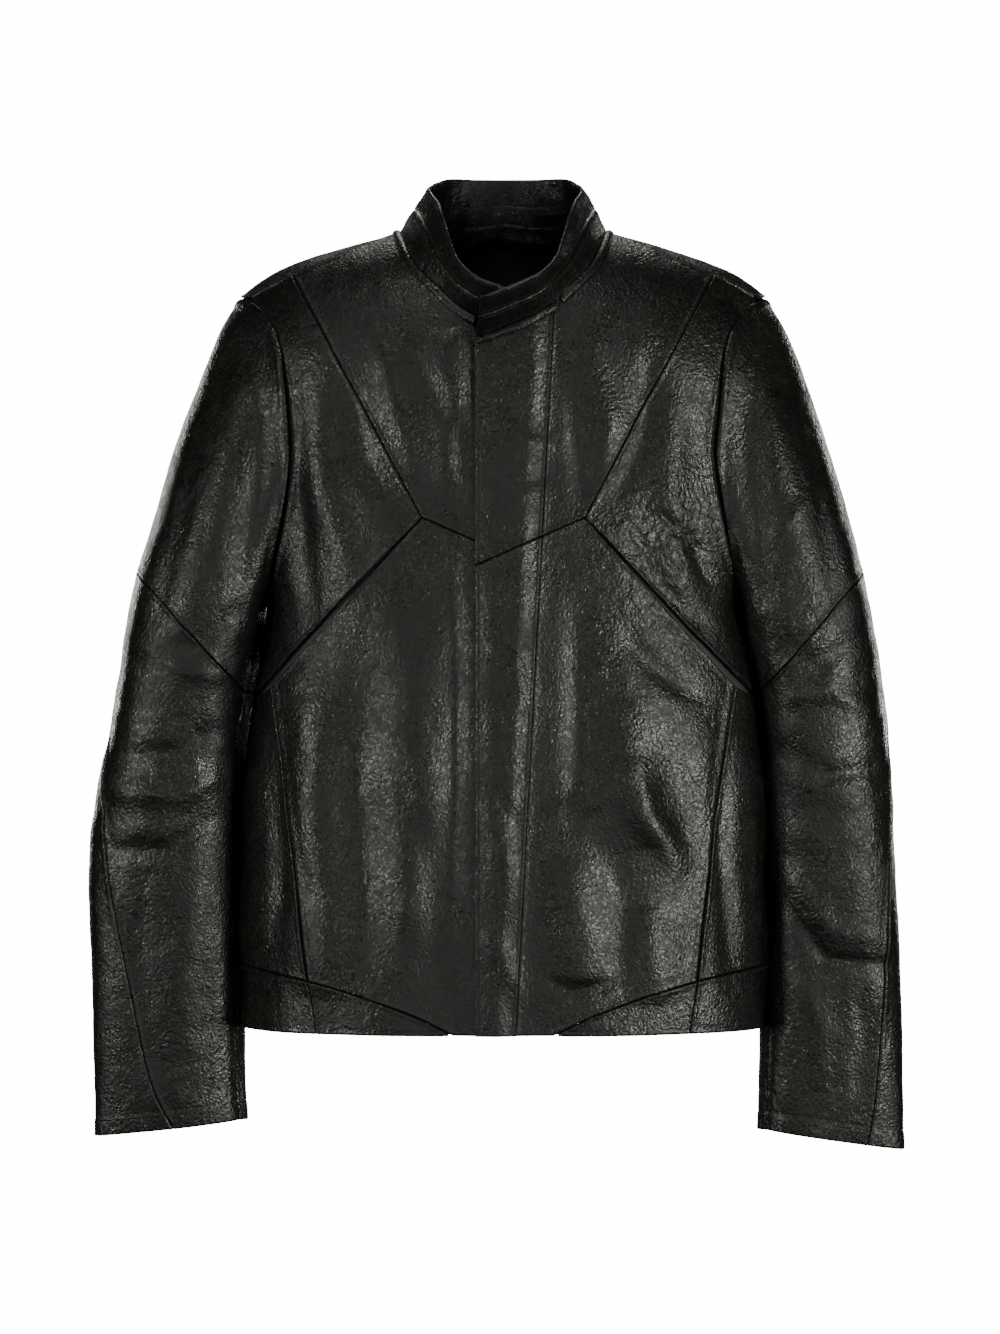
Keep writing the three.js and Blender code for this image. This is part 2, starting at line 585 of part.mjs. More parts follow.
const flyRise = (p) => smooth(flyX(p.z) - p.x, 0, FLY_RAMP);
function flyPanel(name, bottom, top, rows) {
  const at = (s, t) => {
    const guess = lerp(-FLY_OVERLAP, flyX(z(-300)), s);
    const pz = lerp(bottom(guess), top(guess), t);
    return torsoAt(lerp(-FLY_OVERLAP, flyX(pz) + FLY_LAP, s), pz);
  };
  const outer = (p) => lerp(CLEARANCE + LEATHER, FLY_RISE, flyRise(p));
  const inner = (p) => outer(p) - lerp(LEATHER, FLY_THICK, flyRise(p));
  add(name, MATERIAL.shell, sheetGeometry(at, 6, rows, [outer, inner]));
}

// ---- the pocket, facing and lining layers inside the torso ----
const WELT_WIDTH = 12;
const POCKET_BAG = { reach: 82, drop: 46 }; // towards the centre, and below the mouth
const FACING_WIDTH = x(60);
const HEM_FACING = 40;
// The pointed area below the back neck that is faced with leather.
const neckCrown = (up) => [[-78, -8 + up], [0, -46 + up], [78, -8 + up], [78, 100], [-78, 100]]
  .map(([a, b]) => [x(a), z(b)]);

function facingPieces() {
  const layer = torsoLayer(FACING_LAYER, 0, 0);
  for (const [label, side] of SIDES) {
    const innerX = side > 0 ? ZIP_OPENING + ZIP_X : ZIP_OPENING - ZIP_X;
    const put = (name, material, cut) =>
      add(`${name}_${label}`, material, geometryOf(layer.intersect(cut)), side);
    put("front_facing", MATERIAL.facing, front([[innerX, z(40)], onHem(innerX), onHem(FACING_WIDTH),
      [FACING_WIDTH, z(40)]]));
    const start = FACING_WIDTH + 2 * SEAM_GAP;
    const ahead = slab(start, SIDE_X, -FAR, 0.01, HEM_Z - 20, HEM_Z + HEM_FACING);
    const behind = slab(SEAM_GAP, SIDE_X, 0, FAR, HEM_Z - 20, HEM_Z + HEM_FACING);
    put("hem_facing", MATERIAL.facing, ahead.add(behind));
    const strip = (a, b, low) => [[a, POCKET_MOUTH[0]], [a, low], [b, low], [b, POCKET_MOUTH[0]]]
      .map(([out, pz]) => [pocketX(pz) + out, pz]);
    put("pocket_welt", MATERIAL.facing, front(strip(-WELT_WIDTH / 2, WELT_WIDTH / 2, POCKET_MOUTH[1])));
    const low = Math.max(POCKET_MOUTH[1] - POCKET_BAG.drop, HEM_Z + HEM_FACING + 1);
    put("pocket_bag", MATERIAL.lining, front(strip(-WELT_WIDTH / 2 - POCKET_BAG.reach,
      -WELT_WIDTH / 2 - 2 * SEAM_GAP, low)));
  }
  add("back_neck_facing", MATERIAL.facing, geometryOf(layer.intersect(back(neckCrown(0)))));
}

function liningPieces() {
  const layer = torsoLayer(LINING_LAYER, 8, -7);
  const foot = HEM_Z + HEM_FACING - 12;
  const start = FACING_WIDTH - 12;
  const frontPiece = layer
    .intersect(front([[start, z(40)], [start, foot], [SIDE_X, foot], [SIDE_X, z(40)]]))
    .subtract(slab(x(150), SIDE_X, -SEAM_GAP, 1, HEM_Z - 20, z(-280)));
  for (const [label, side] of SIDES) {
    add(`lining_front_${label}`, MATERIAL.lining,
      geometryOf(frontPiece.subtract(slab(0, SIDE_X, -SEAM_GAP, 1, z(-280), z(100)))), side);
  }
  const behind = slab(-SIDE_X, SIDE_X, SEAM_GAP, FAR, foot, z(100));
  add("lining_back", MATERIAL.lining, geometryOf(layer.intersect(behind).subtract(back(neckCrown(2)))));
}

// ---- sleeves ----
const FOREARM_SEAM = { left: 66, right: 94 }; // degrees round the sleeve, where the seam meets the cuff
const SEAM_START = 5.5; // ring where that seam leaves the outer edge
const SLEEVE_LINING = [SHELL[1] - CLEARANCE, SHELL[1] - CLEARANCE - LINING];
const SLEEVE_COLUMNS = 16;
const SLEEVE_RINGS = [0, 0.6, 1.4, 2.6, UPPER_SEAM, 5, 6, ELBOW_END, 9, LAST_RING];
function sleeveSolid(offset, open = 0) {
  const skin = new Skin();
  const rings = SLEEVE_RINGS.map((v) => Array.from({ length: SLEEVE_COLUMNS }, (_, k) => {
    const { p, n } = sleeveAt(v, ((k + 0.5) / SLEEVE_COLUMNS) * 2 * Math.PI);
    return p.addScaledVector(n, offset);
  }));
  if (open) {
    rings.unshift(rings[0].map((p) => p.clone().setX(p.x - open)));
    const cuff = rings[rings.length - 1];
    rings.push(cuff.map((p) => p.clone().setZ(p.z - open)));
  }
  const index = rings.map((points) => points.map((p) => skin.vertex(p)));
  for (let i = 0; i < index.length - 1; i += 1) {
    for (let k = 0; k < SLEEVE_COLUMNS; k += 1) {
      const m = (k + 1) % SLEEVE_COLUMNS;
      skin.quad(index[i][k], index[i][m], index[i + 1][m], index[i + 1][k]);
    }
  }
  for (const [end, order] of [[0, 1], [index.length - 1, -1]]) {
    const middle = rings[end].reduce((sum, p) => sum.add(p), new THREE.Vector3());
    middle.divideScalar(SLEEVE_COLUMNS);
    const centre = skin.vertex(middle);
    for (let k = 0; k < SLEEVE_COLUMNS; k += 1) {
      const m = (k + 1) % SLEEVE_COLUMNS;
      if (order > 0) skin.triangle(centre, index[end][m], index[end][k]);
      else skin.triangle(centre, index[end][k], index[end][m]);
    }
  }
  return solid(skin.geometry());
}

// The front-view line of a ring, run on past both ends of the sleeve.
function ringLine(v, past = 40) {
  const [ox, oz, ix, iz] = ring(v / LAST_RING);
  const outer = new THREE.Vector2(ox, oz);
  const inner = new THREE.Vector2(ix, iz);
  const run = outer.clone().sub(inner).normalize().multiplyScalar(past);
  return [inner.sub(run.clone().multiplyScalar(0.4)).toArray(), outer.add(run).toArray()];
}
const sleeveMiddle = sample((t) => {
  const [ox, oz, ix, iz] = ring(t);
  return [(ox + ix) / 2, (oz + iz) / 2];
}, LAST_RING);

// Down the torso's side from the armpit, clear of it, and on down past the cuff.
const underArm = (out) => [
  [ARMPIT[0] + out + 1, ARMPIT[1]],
  ...sample((t) => {
    const pz = lerp(ARMPIT[1] - 6, z(-400), t);
    return [halfWidth(pz) + out + 1, pz];
  }, 4),
  [halfWidth(z(-400)) + out, -SLEEVE_DROP - 40],
];

function sleevePieces() {
  const trim = (made, out) => made.intersect(bothWays([
    [HALF_SHOULDER - 60, z(100)], ...armholeLine(out), ...underArm(out),
    [FAR, -SLEEVE_DROP - 40], [FAR, z(100)],
  ]));
  const shell = trim(sleeveSolid(SHELL[0]).subtract(sleeveSolid(SHELL[1], 12)), CLEARANCE);
  const cloth = trim(sleeveSolid(SLEEVE_LINING[0]).subtract(sleeveSolid(SLEEVE_LINING[1], 12)), 8);
  const cuff = LAST_RING - 0.35;
  const top = [[ARMPIT[0] - 60, z(100)], [FAR, z(100)]];
  const end = [[ARMPIT[0] - 20, -SLEEVE_DROP - 40], [FAR, -SLEEVE_DROP - 40]];
  const stretches = (last) => [
    ["upper", top, ringLine(UPPER_SEAM)],
    ["elbow", ringLine(UPPER_SEAM), ringLine(ELBOW_END)],
    ["forearm", ringLine(ELBOW_END), last],
  ];
  for (const [label, side] of SIDES) {
    const run = (v) => clamp01((v - SEAM_START) / (LAST_RING - SEAM_START));
    const seam = (v) => FOREARM_SEAM[label] * DEG * run(v) ** 0.8;
    const seamLine = sample((v) => {
      const { x: px, z: pz } = sleevePoint(v, seam(v));
      return [px + (v < SEAM_START + 0.1 ? 6 : 0), pz];
    }, 8, SEAM_START, LAST_RING);
    seamLine.push([lerp(seamLine[7][0], seamLine[8][0], 2), lerp(seamLine[7][1], seamLine[8][1], 2)]);
    const ringWalls = [UPPER_SEAM, ELBOW_END].map((v) => bothWays(seamWall(ringLine(v))));
    const parted = (made) => ringWalls.reduce((rest, wall) => rest.subtract(wall), made);
    // Front pieces lie between the seam and the inner edge; the rest of the sleeve is the back pieces.
    const startZ = seamLine[0][1];
    const ahead = front([[ARMPIT[0] - 80, z(100)], [FAR, z(100)], [FAR, startZ], ...seamLine,
      [seamLine[9][0], -SLEEVE_DROP - 40], [ARMPIT[0] - 20, -SLEEVE_DROP - 40]]);
    const innerHalf = bothWays([...sleeveMiddle, [sleeveMiddle[LAST_RING][0], -SLEEVE_DROP - 40],
      [0, -SLEEVE_DROP - 40], [0, z(100)]]);
    const split = slab(0, FAR, -SEAM_GAP, SEAM_GAP, -SLEEVE_DROP - 40, z(100));
    const outerSplit = slab(0, FAR, -SEAM_GAP, SEAM_GAP, startZ, z(100));
    const seamed = parted(shell)
      .subtract(split.intersect(innerHalf))
      .subtract(outerSplit)
      .subtract(front(seamWall(seamLine)));
    const lined = parted(cloth);
    for (const [name, from, to] of stretches(end)) {
      const part = seamed.intersect(bothWays([from[0], from[1], to[1], to[0]]));
      const forward = part.intersect(ahead);
      add(`sleeve_${name}_front_${label}`, MATERIAL.shell, geometryOf(forward), side);
      add(`sleeve_${name}_back_${label}`, MATERIAL.shell, geometryOf(part.subtract(ahead)), side);
    }
    for (const [name, from, to] of stretches(ringLine(cuff))) {
      const part = lined.intersect(bothWays([from[0], from[1], to[1], to[0]]));
      add(`sleeve_lining_${name}_${label}`, MATERIAL.lining, geometryOf(part), side);
    }
  }
}

// ---- collar ----
const BINDING_WIDTH = 7;
function collar() {
  const half = COLLAR_THICK / 2;
  const band = (from, to) => (s, t) => collarAt(lerp(-1, 1, s), lerp(from, to, t));
  const layer = [half, -half];
  add("collar_stand", MATERIAL.shell, sheetGeometry(band(0.03, COLLAR_SEAM), 28, 1, layer));
  add("collar_top_band", MATERIAL.shell, sheetGeometry(band(COLLAR_SEAM, 1), 28, 1, layer));

  // A raised band sewn round the foot of the collar, from the fly line to the right front edge.
  const ends = [neckAtX(frontEdgeX(-1, 0)), neckAtX(FLY_TOP_X + 2)];
  const bindingAt = (s, t) => {
    const u = lerp(-ends[0], ends[1], s);
    const a = Math.abs(u);
    const d = 0.01;
    const scale = 100; // mm to the radian over the shoulder, to measure both directions alike
    const [px, over] = neckCurve(a);
    const [ax, aOver] = neckCurve(Math.max(0, a - d));
    const [bx, bOver] = neckCurve(Math.min(1, a + d));
    const run = new THREE.Vector2(bx - ax, (bOver - aOver) * scale).normalize();
    const out = lerp(0.6, BINDING_WIDTH, t);
    const { p, n } = torsoOver(px - run.y * out, over + (run.x * out) / scale);
    const side = Math.sign(u) || 1;
    return { p: p.setX(side * p.x), n: n.setX(side * n.x) };
  };
  add("neck_binding", MATERIAL.shell, sheetGeometry(bindingAt, 30, 1, [CLEARANCE + 1.3, CLEARANCE + 0.3]));
}

// ---- zip ----
function box(name, material, [x0, x1], [y0, y1], [z0, z1]) {
  const mesh = add(name, material, new THREE.BoxGeometry(x1 - x0, y1 - y0, z1 - z0));
  mesh.position.set((x0 + x1) / 2, (y0 + y1) / 2, (z0 + z1) / 2);
}

const ZIP_TOP = neckFront(-FLY_OVERLAP) - 8;
const ZIP_FOOT = HEM_Z + 8;
const TAPE_Y = -FRONT_DEPTH - LINING_LAYER[0] + 0.8; // front face of the tape
const TEETH_Y = TAPE_Y + LINING / 2; // middle of the teeth, which grip the tape's edge
const SLIDER_Z = ZIP_TOP - SLIDER.length / 2 - 1;

function zip() {
  for (const [label, side] of SIDES) {
    const inner = ZIP_X + side * (TEETH_GAP / 2);
    const toothEnd = inner + side * TOOTH_WIDTH;
    const span = (a, b) => [Math.min(a, b), Math.max(a, b)];
    box(`zip_teeth_${label}`, MATERIAL.metal, span(inner, toothEnd),
      [TEETH_Y - TOOTH_THICK / 2, TEETH_Y + TOOTH_THICK / 2], [ZIP_FOOT, ZIP_TOP]);
    box(`zip_tape_${label}`, MATERIAL.tape, span(toothEnd + side * CLEARANCE, inner + side * TAPE_WIDTH),
      [TAPE_Y, TAPE_Y + LINING], [ZIP_FOOT - 4, ZIP_TOP + 4]);
  }
  const stop = TEETH_GAP / 2 + TOOTH_WIDTH;
  box("zip_box", MATERIAL.metal, [ZIP_X - stop, ZIP_X + stop],
    [TEETH_Y - TOOTH_THICK / 2, TEETH_Y + TOOTH_THICK / 2], [ZIP_FOOT - CLEARANCE - 6, ZIP_FOOT - CLEARANCE]);
}

// The slider's two plates clasp the teeth and are joined by a thin neck that runs between the rows.
function slider() {
  const grip = TOOTH_THICK / 2 + CLEARANCE;
  const w = SLIDER.width / 2;
  const n = SLIDER.neck / 2;
  const plate = SLIDER.plate;
  const section = [[-w, grip], [-n, grip], [-n, -grip], [-w, -grip], [-w, -grip - plate], [w, -grip - plate],
    [w, -grip], [n, -grip], [n, grip], [w, grip], [w, grip + plate], [-w, grip + plate]];
  const shape = new THREE.Shape(section.map(([a, b]) => new THREE.Vector2(a, b)));
  const body = new THREE.ExtrudeGeometry(shape, { depth: SLIDER.length, bevelEnabled: false });
  const pullBack = -FRONT_DEPTH - 0.4; // the pull swings just clear of the shell's face
  const faceY = -grip - plate; // front of the slider, from the middle of the teeth
  const pinEnd = pullBack - PULL.thick - 0.2 - TEETH_Y;
  const pin = new THREE.CylinderGeometry(PULL.pin, PULL.pin, faceY - pinEnd + plate / 2, 16)
    .translate(0, (faceY + pinEnd + plate / 2) / 2, SLIDER.length / 2);
  const mesh = add("zip_slider", MATERIAL.metal, geometryOf(solid(body).add(solid(pin))));
  mesh.position.set(ZIP_X, TEETH_Y, SLIDER_Z - SLIDER.length / 2);

  const pw = PULL.width / 2;
  const outline = [[-pw, 3], [pw, 3], [pw * 0.7, 3 - PULL.length], [-pw * 0.7, 3 - PULL.length]];
  const tab = solid(prism(outline, -PULL.thick, 0));
  const eye = solid(new THREE.CylinderGeometry(PULL.eye, PULL.eye, 4 * PULL.thick, 16));
  const tabMesh = add("zip_pull", MATERIAL.metal, geometryOf(tab.subtract(eye)));
  tabMesh.position.set(ZIP_X, pullBack, SLIDER_Z);
}

// ---- label inside the back neck ----
const LABEL = { width: 84, top: -7, bottom: -21 };
function neckTrim() {
  const label = torsoSolid(LABEL_LAYER[0]).subtract(torsoSolid(LABEL_LAYER[1], 8));
  add("neck_label", MATERIAL.label, geometryOf(label.intersect(
    slab(-LABEL.width / 2, LABEL.width / 2, 1, FAR, LABEL.bottom, LABEL.top))));
}

const shellLayer = torsoLayer(SHELL, 0, 0);
for (const [label, side] of SIDES) frontPanels(shellLayer, label, side);
flyPanel("fly_upper", yokeZ, neckFront, 6);
flyPanel("fly_lower", () => HEM_Z, yokeZ, 5);
backPanels(shellLayer);
facingPieces();
liningPieces();
sleevePieces();
collar();
zip();
slider();
neckTrim();

export default jacket;
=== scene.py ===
"""Looks of a slim leather jacket: creased leather panels, seams, stitching, collar, lining and zip.

Drafted in millimetres on the CAD part's own surfaces, with its formulas repeated here, and turned into
metres when a mesh is made. The front faces -Y and +X is the wearer's left.
"""
import math
from collections import defaultdict

import bpy
import numpy as np
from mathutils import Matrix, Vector


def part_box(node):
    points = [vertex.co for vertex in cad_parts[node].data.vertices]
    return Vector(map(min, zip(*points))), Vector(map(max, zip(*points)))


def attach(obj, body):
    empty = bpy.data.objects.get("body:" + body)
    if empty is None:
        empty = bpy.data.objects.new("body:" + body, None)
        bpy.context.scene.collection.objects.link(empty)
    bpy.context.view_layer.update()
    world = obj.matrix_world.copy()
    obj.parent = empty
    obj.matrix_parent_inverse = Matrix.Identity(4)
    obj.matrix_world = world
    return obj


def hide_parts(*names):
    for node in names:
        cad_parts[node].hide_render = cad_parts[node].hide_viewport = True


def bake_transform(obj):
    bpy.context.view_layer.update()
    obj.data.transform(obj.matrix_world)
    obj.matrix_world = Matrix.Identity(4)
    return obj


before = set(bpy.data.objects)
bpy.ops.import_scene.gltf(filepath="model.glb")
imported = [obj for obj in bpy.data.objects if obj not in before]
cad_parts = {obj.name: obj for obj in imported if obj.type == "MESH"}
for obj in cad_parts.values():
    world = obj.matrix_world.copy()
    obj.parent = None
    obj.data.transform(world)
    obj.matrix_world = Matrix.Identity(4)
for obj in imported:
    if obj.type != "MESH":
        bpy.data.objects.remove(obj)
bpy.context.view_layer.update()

MM = 0.001
DEG = math.pi / 180

# ---- the part's driving sizes, in millimetres ----
SHOULDER_WIDTH = 430
FRONT_DEPTH = 92
BACK_DEPTH = 95
HEM_Z = -646
SIDE_POWER = 2.6
RIDGE_TOP, RIDGE_SLOPE, RIDGE_FALL, RIDGE_POWER = 26, 0.26, 19, 8
ROLL = 114
ROLL_ARC = 103.6  # mm of surface to a radian of the roll over the shoulder
ARMPIT = (194, -300)
SIDE_TOP_Z = ARMPIT[1] - 0.5
SHOULDER_POINT = (SHOULDER_WIDTH / 2, -49)
ARMHOLE_BOW = 34.5
FLY_OVERLAP, FLY_TOP_X, FLY_HEM_X, FLY_TOP_Z = 22, 41, 10, -57
ZIP_X, ZIP_OPENING = -5, 6.5
YOKE_SLOPE, YOKE_POINT = 0.44, (65, -233)
SHOULDER_END, SHOULDER_TIP = (171, -34), (205, -51)
SHOULDER_CORNER = (214.6, -49.4)
ARMHOLE_TOP = 0.995
CHEST_END_Z = -377
POCKET_TOP, POCKET_HEM_X = (187, -367.6), 150
POCKET_MOUTH = (-552, -400)
HEM_TIP_X = 40
BACK_YOKE_Z = -150
COLLAR_THICK, COLLAR_SEAM, OVERLAP_STEP, RIGHT_END = 3, 0.5, 7.5, 0.925
SIDE_LIMIT = 0.99999  # share of the half width kept short of the side seam itself
SIDE_HEM_Z, SIDE_HEM_SHARE = -594, 0.9999  # where the hem seam meets the side seam
POCKET_FOOT_Z = -604.0
NECK_FOOT = 0.9999  # last place on the neck line
FLY_SEAM_Z = -244  # about where the fly's seam meets its stitching line
FRONT_SEAM_Z, NECK_EDGE_Z, FLY_NECK_Z = -255.0, -62.0, -60  # about where fronts meet yoke seam and neck
FACING_X, TURNING_FOOT, TURNING_TOP = 60, HEM_Z + 1, HEM_Z + 40  # front facing and hem turning
LINING_FOOT, LINING_ARMHOLE = HEM_Z + 36, 0.93
LABEL_X, LABEL_FOOT, LABEL_TOP = 42, -21, -7
NECK_FACING_FOOT, NECK_FACING_END = ((0, -46), (76, -8)), 0.31
BACK_LINING_CORNER = (83, 3)
# how far each inner layer lies under the leather's face
FACING_IN, TURNING_IN, LABEL_IN = -2.6, -2.8, -4
SLEEVE_LINING_IN, LINING_IN, BACK_LINING_IN = -3.4, -4.4, -4.6
ARMHOLE_YOKE = -0.195  # place on the armhole of the back yoke's seam
FOLD_STRENGTH, SLEEVE_FOLD_STRENGTH = 1.35, 0.85


# ================= curves =================
def through(knots):
    """A smooth function through (at, value) knots."""
    at, value = (np.array(column, float) for column in zip(*knots))
    slope = np.empty_like(value)
    slope[1:-1] = (value[2:] - value[:-2]) / (at[2:] - at[:-2])
    slope[0] = (value[1] - value[0]) / (at[1] - at[0])
    slope[-1] = (value[-1] - value[-2]) / (at[-1] - at[-2])

    def f(q):
        q = np.asarray(q, float)
        i = np.clip(np.searchsorted(at, q, side="right") - 1, 0, len(at) - 2)
        w = at[i + 1] - at[i]
        t = np.clip((q - at[i]) / w, 0, 1)
        return ((2 * t**3 - 3 * t**2 + 1) * value[i] + (t**3 - 2 * t**2 + t) * w * slope[i]
                + (3 * t**2 - 2 * t**3) * value[i + 1] + (t**3 - t**2) * w * slope[i + 1])

    return f


def along(points):
    """A curve through points; t runs 0 to 1, evenly from point to point."""
    shares = np.linspace(0, 1, len(points))
    tracks = [through(list(zip(shares, column))) for column in zip(*points)]
    return lambda t: tuple(track(t) for track in tracks)


def smooth(value, low, high):
    t = np.clip((value - low) / (high - low), 0, 1)
    return t * t * (3 - 2 * t)


def lerp(a, b, t):
    return a + (b - a) * t


# ================= the torso =================
half_width = through([
    (-646, 215), (-560, 215.5), (-485, 214), (-428, 211), (-370, 204), (-330, 197), (-300, 194),
    (-230, 206), (-170, 214), (-100, 226), (-49, 232), (30, 236)])
back_share = through([
    (-646, 0.78), (-480, 0.8), (-330, 0.88), (-180, 1), (-60, 0.97), (0, 0.905), (30, 0.88)])


def depth_at(z, back):
    return np.where(back, BACK_DEPTH * back_share(z), FRONT_DEPTH)


def ridge_z(x):
    return RIDGE_TOP - RIDGE_SLOPE * np.abs(x) - RIDGE_FALL * (np.abs(x) / SHOULDER_POINT[0]) ** RIDGE_POWER


def side_share(x, z):
    return 1 - (np.abs(x) / half_width(z)) ** SIDE_POWER


def ridge_share(x, z):
    return 1 - (1 - np.minimum(1, (ridge_z(x) - z) / ROLL)) ** 2


def half_depth(x, z, back):
    return depth_at(z, back) * np.sqrt(np.maximum(0, side_share(x, z)) * np.maximum(0, ridge_share(x, z)))


def torso_field(x, y, z):
    return y * y - depth_at(z, y > 0) ** 2 * side_share(x, z) * ridge_share(x, z)


def unit(v):
    return v / np.maximum(np.linalg.norm(v, axis=-1, keepdims=True), 1e-9)


def torso_normal(x, y, z, d=0.05):
    return unit(np.stack([
        torso_field(x + d, y, z) - torso_field(x - d, y, z),
        torso_field(x, y + d, z) - torso_field(x, y - d, z),
        torso_field(x, y, z + d) - torso_field(x, y, z - d)], -1))


# A nearly isometric map of the torso: U round the body from the centre, V down from the shoulder ridge,
# with V below 0 on the back.
_angle = np.linspace(0, math.pi / 2, 1500)
_share = np.sin(_angle) ** (2 / SIDE_POWER)
HEM_HALF_WIDTH = 215
_steps = np.hypot(np.diff(_share), np.diff(np.cos(_angle)) * FRONT_DEPTH / HEM_HALF_WIDTH)
_arc = np.concatenate([[0], np.cumsum(_steps)])


def to_uv(x, z, back=False):
    x, z = np.asarray(x, float), np.asarray(z, float)
    u = np.sign(x) * np.interp(np.abs(x) / half_width(z), _share, _arc) * half_width(z)
    down = np.maximum(0, ridge_z(x) - z)
    v = np.where(down < ROLL, ROLL_ARC * np.arccos(np.clip(1 - down / ROLL, -1, 1)),
                 ROLL_ARC * math.pi / 2 + down - ROLL)
    return np.stack([u, np.where(back, -v, v)], -1)


def from_uv(uv):
    u, v = uv[..., 0], np.abs(uv[..., 1])
    down = np.where(v < ROLL_ARC * math.pi / 2, ROLL * (1 - np.cos(v / ROLL_ARC)),
                    ROLL + v - ROLL_ARC * math.pi / 2)
    x = u * 0.9
    for _ in range(12):
        z = ridge_z(x) - down
        x = np.sign(u) * np.interp(np.abs(u) / half_width(z), _arc, _share) * half_width(z)
    return x, ridge_z(x) - down


def torso_surface(uv):
    x, z = from_uv(uv)
    x = np.clip(x, -half_width(z) * SIDE_LIMIT, half_width(z) * SIDE_LIMIT)
    back = uv[..., 1] < 0
    y = np.where(back, 1, -1) * half_depth(x, z, back)
    n = torso_normal(x, y, z)
    return np.stack([x, y, z], -1), n


# ---- seam lines, as UV ----
hem_seam_z = through([(40, -646), (76, -629), (150, -606), (216, -594)])
neck_curve = along([(x, over * DEG) for x, over in [
    (0, 39.5), (30, 37.5), (60, 27), (77, 13), (83, 0), (82, -15),
    (79, -28), (71, -45), (53, -60.6), (30, -75), (0, -86), (-22, -87.5)]])
NECK_RIDGE = 4 / 11


def fly_x(z):
    return lerp(FLY_HEM_X, FLY_TOP_X, (z - HEM_Z) / (FLY_TOP_Z - HEM_Z))


def pocket_x(z):
    return lerp(POCKET_HEM_X, POCKET_TOP[0], (z - HEM_Z) / (POCKET_TOP[1] - HEM_Z))


def yoke_z(x):
    return YOKE_POINT[1] - YOKE_SLOPE * (YOKE_POINT[0] - x)


def neck_place(t):
    """x, z and the angle over the shoulder of a place on the neck line."""
    x, over = neck_curve(t)
    return x, ridge_z(x) - ROLL * (1 - np.cos(over)), over


def neck_z(t):
    return float(neck_place(t)[1])


def neck_at_x(x):
    shares = np.linspace(NECK_RIDGE, 1, 800)
    return np.interp(-x, -neck_curve(shares)[0], shares)


def neck_uv(t):
    x, z, over = neck_place(t)
    return np.stack([to_uv(x, z)[..., 0], -over * ROLL_ARC], -1)


def neck_run(start, end, count):
    return neck_uv(np.linspace(start, end, count))


NECK_END = NECK_RIDGE + 0.02  # where the neck line reaches the shoulder seam
NECK_CORNER = (float(neck_curve(NECK_END)[0]), neck_z(NECK_END))
FLIP = np.array([-1, 1])


def both(half):
    """A seam over both halves of the back, from its left half."""
    return np.concatenate([half[::-1] * FLIP, half[1:]])


def bow_at(c):
    return ARMHOLE_BOW * (1 - np.abs(c) ** np.where(c > 0, 7, 1.3))


def armhole(c):
    t = (1 + c) / 2
    return (lerp(ARMPIT[0], SHOULDER_POINT[0], t) - bow_at(c), lerp(ARMPIT[1], SHOULDER_POINT[1], t))


def line(*points, back=False):
    """A straight-sided seam through (x, z) points, as UV."""
    parts = []
    for (x0, z0), (x1, z1) in zip(points, points[1:]):
        t = np.linspace(0, 1, max(2, int(math.hypot(x1 - x0, z1 - z0) / 3)))
        parts.append(to_uv(lerp(x0, x1, t), lerp(z0, z1, t), back))
    return np.concatenate(parts)


def curve(f, start, end, back=False, count=60):
    x, z = f(np.linspace(start, end, count))
    return to_uv(x, z, back)


def side_line(z):
    return (half_width(z) * SIDE_LIMIT, z)


# ================= patches =================
def spacing(length, step):
    """Shares of a length, spaced by step and finer beside both ends."""
    edge = [0, 0.5, 1.1, 1.9, 3.0, 4.4]
    if length < 2 * edge[-1] + 3 * step:
        return np.linspace(0, 1, max(5, int(length / step) + 2))
    inner = np.linspace(edge[-1], length - edge[-1], max(2, int((length - 2 * edge[-1]) / step) + 1))
    return np.concatenate([edge[:-1], inner, length - np.array(edge[-2::-1])]) / length


def run_of(points):
    """The distance from the first point to each point of a line."""
    return np.concatenate([[0], np.cumsum(np.linalg.norm(np.diff(points, axis=0), axis=1))])


def resample(points, shares):
    run = run_of(points)
    return np.stack([np.interp(shares * run[-1], run, points[:, k]) for k in range(points.shape[1])], -1)


def length_of(points):
    return float(np.linalg.norm(np.diff(points, axis=0), axis=1).sum())


def coons(bottom, right, top, left, step):
    """A grid between four edges: bottom and top run left to right, left and right run bottom to top."""
    s = spacing(max(length_of(bottom), length_of(top)), step)
    t = spacing(max(length_of(left), length_of(right)), step)
    b, c = resample(bottom, s)[:, None], resample(top, s)[:, None]
    d, e = resample(left, t)[None], resample(right, t)[None]
    s, t = s[:, None, None], t[None, :, None]
    corner = ((1 - s) * (1 - t) * b[0, 0] + s * (1 - t) * b[-1, 0] + (1 - s) * t * c[0, 0] + s * t * c[-1, 0])
    return (1 - t) * b + t * c + (1 - s) * d + s * e - corner


def edge_distances(p):
    """Distance over the surface from each edge of a grid: left, right, bottom, top."""
    across = np.linalg.norm(np.diff(p, axis=0), axis=-1)
    up = np.linalg.norm(np.diff(p, axis=1), axis=-1)
    left = np.concatenate([np.zeros((1, p.shape[1])), np.cumsum(across, 0)])
    bottom = np.concatenate([np.zeros((p.shape[0], 1)), np.cumsum(up, 1)], 1)
    return {"left": left, "right": left[-1] - left, "bottom": bottom, "top": bottom[:, -1:] - bottom}


def grid_normals(p, n):
    """Normals of a displaced grid, on the side that n points to."""
    across = np.gradient(p, axis=0)
    up = np.gradient(p, axis=1)
    m = np.cross(across, up)
    size = np.linalg.norm(m, axis=-1, keepdims=True)
    m = np.where(size > 1e-6, m / np.maximum(size, 1e-9), n)
    return m * np.where(np.sum(m * n, -1, keepdims=True) < 0, -1, 1)


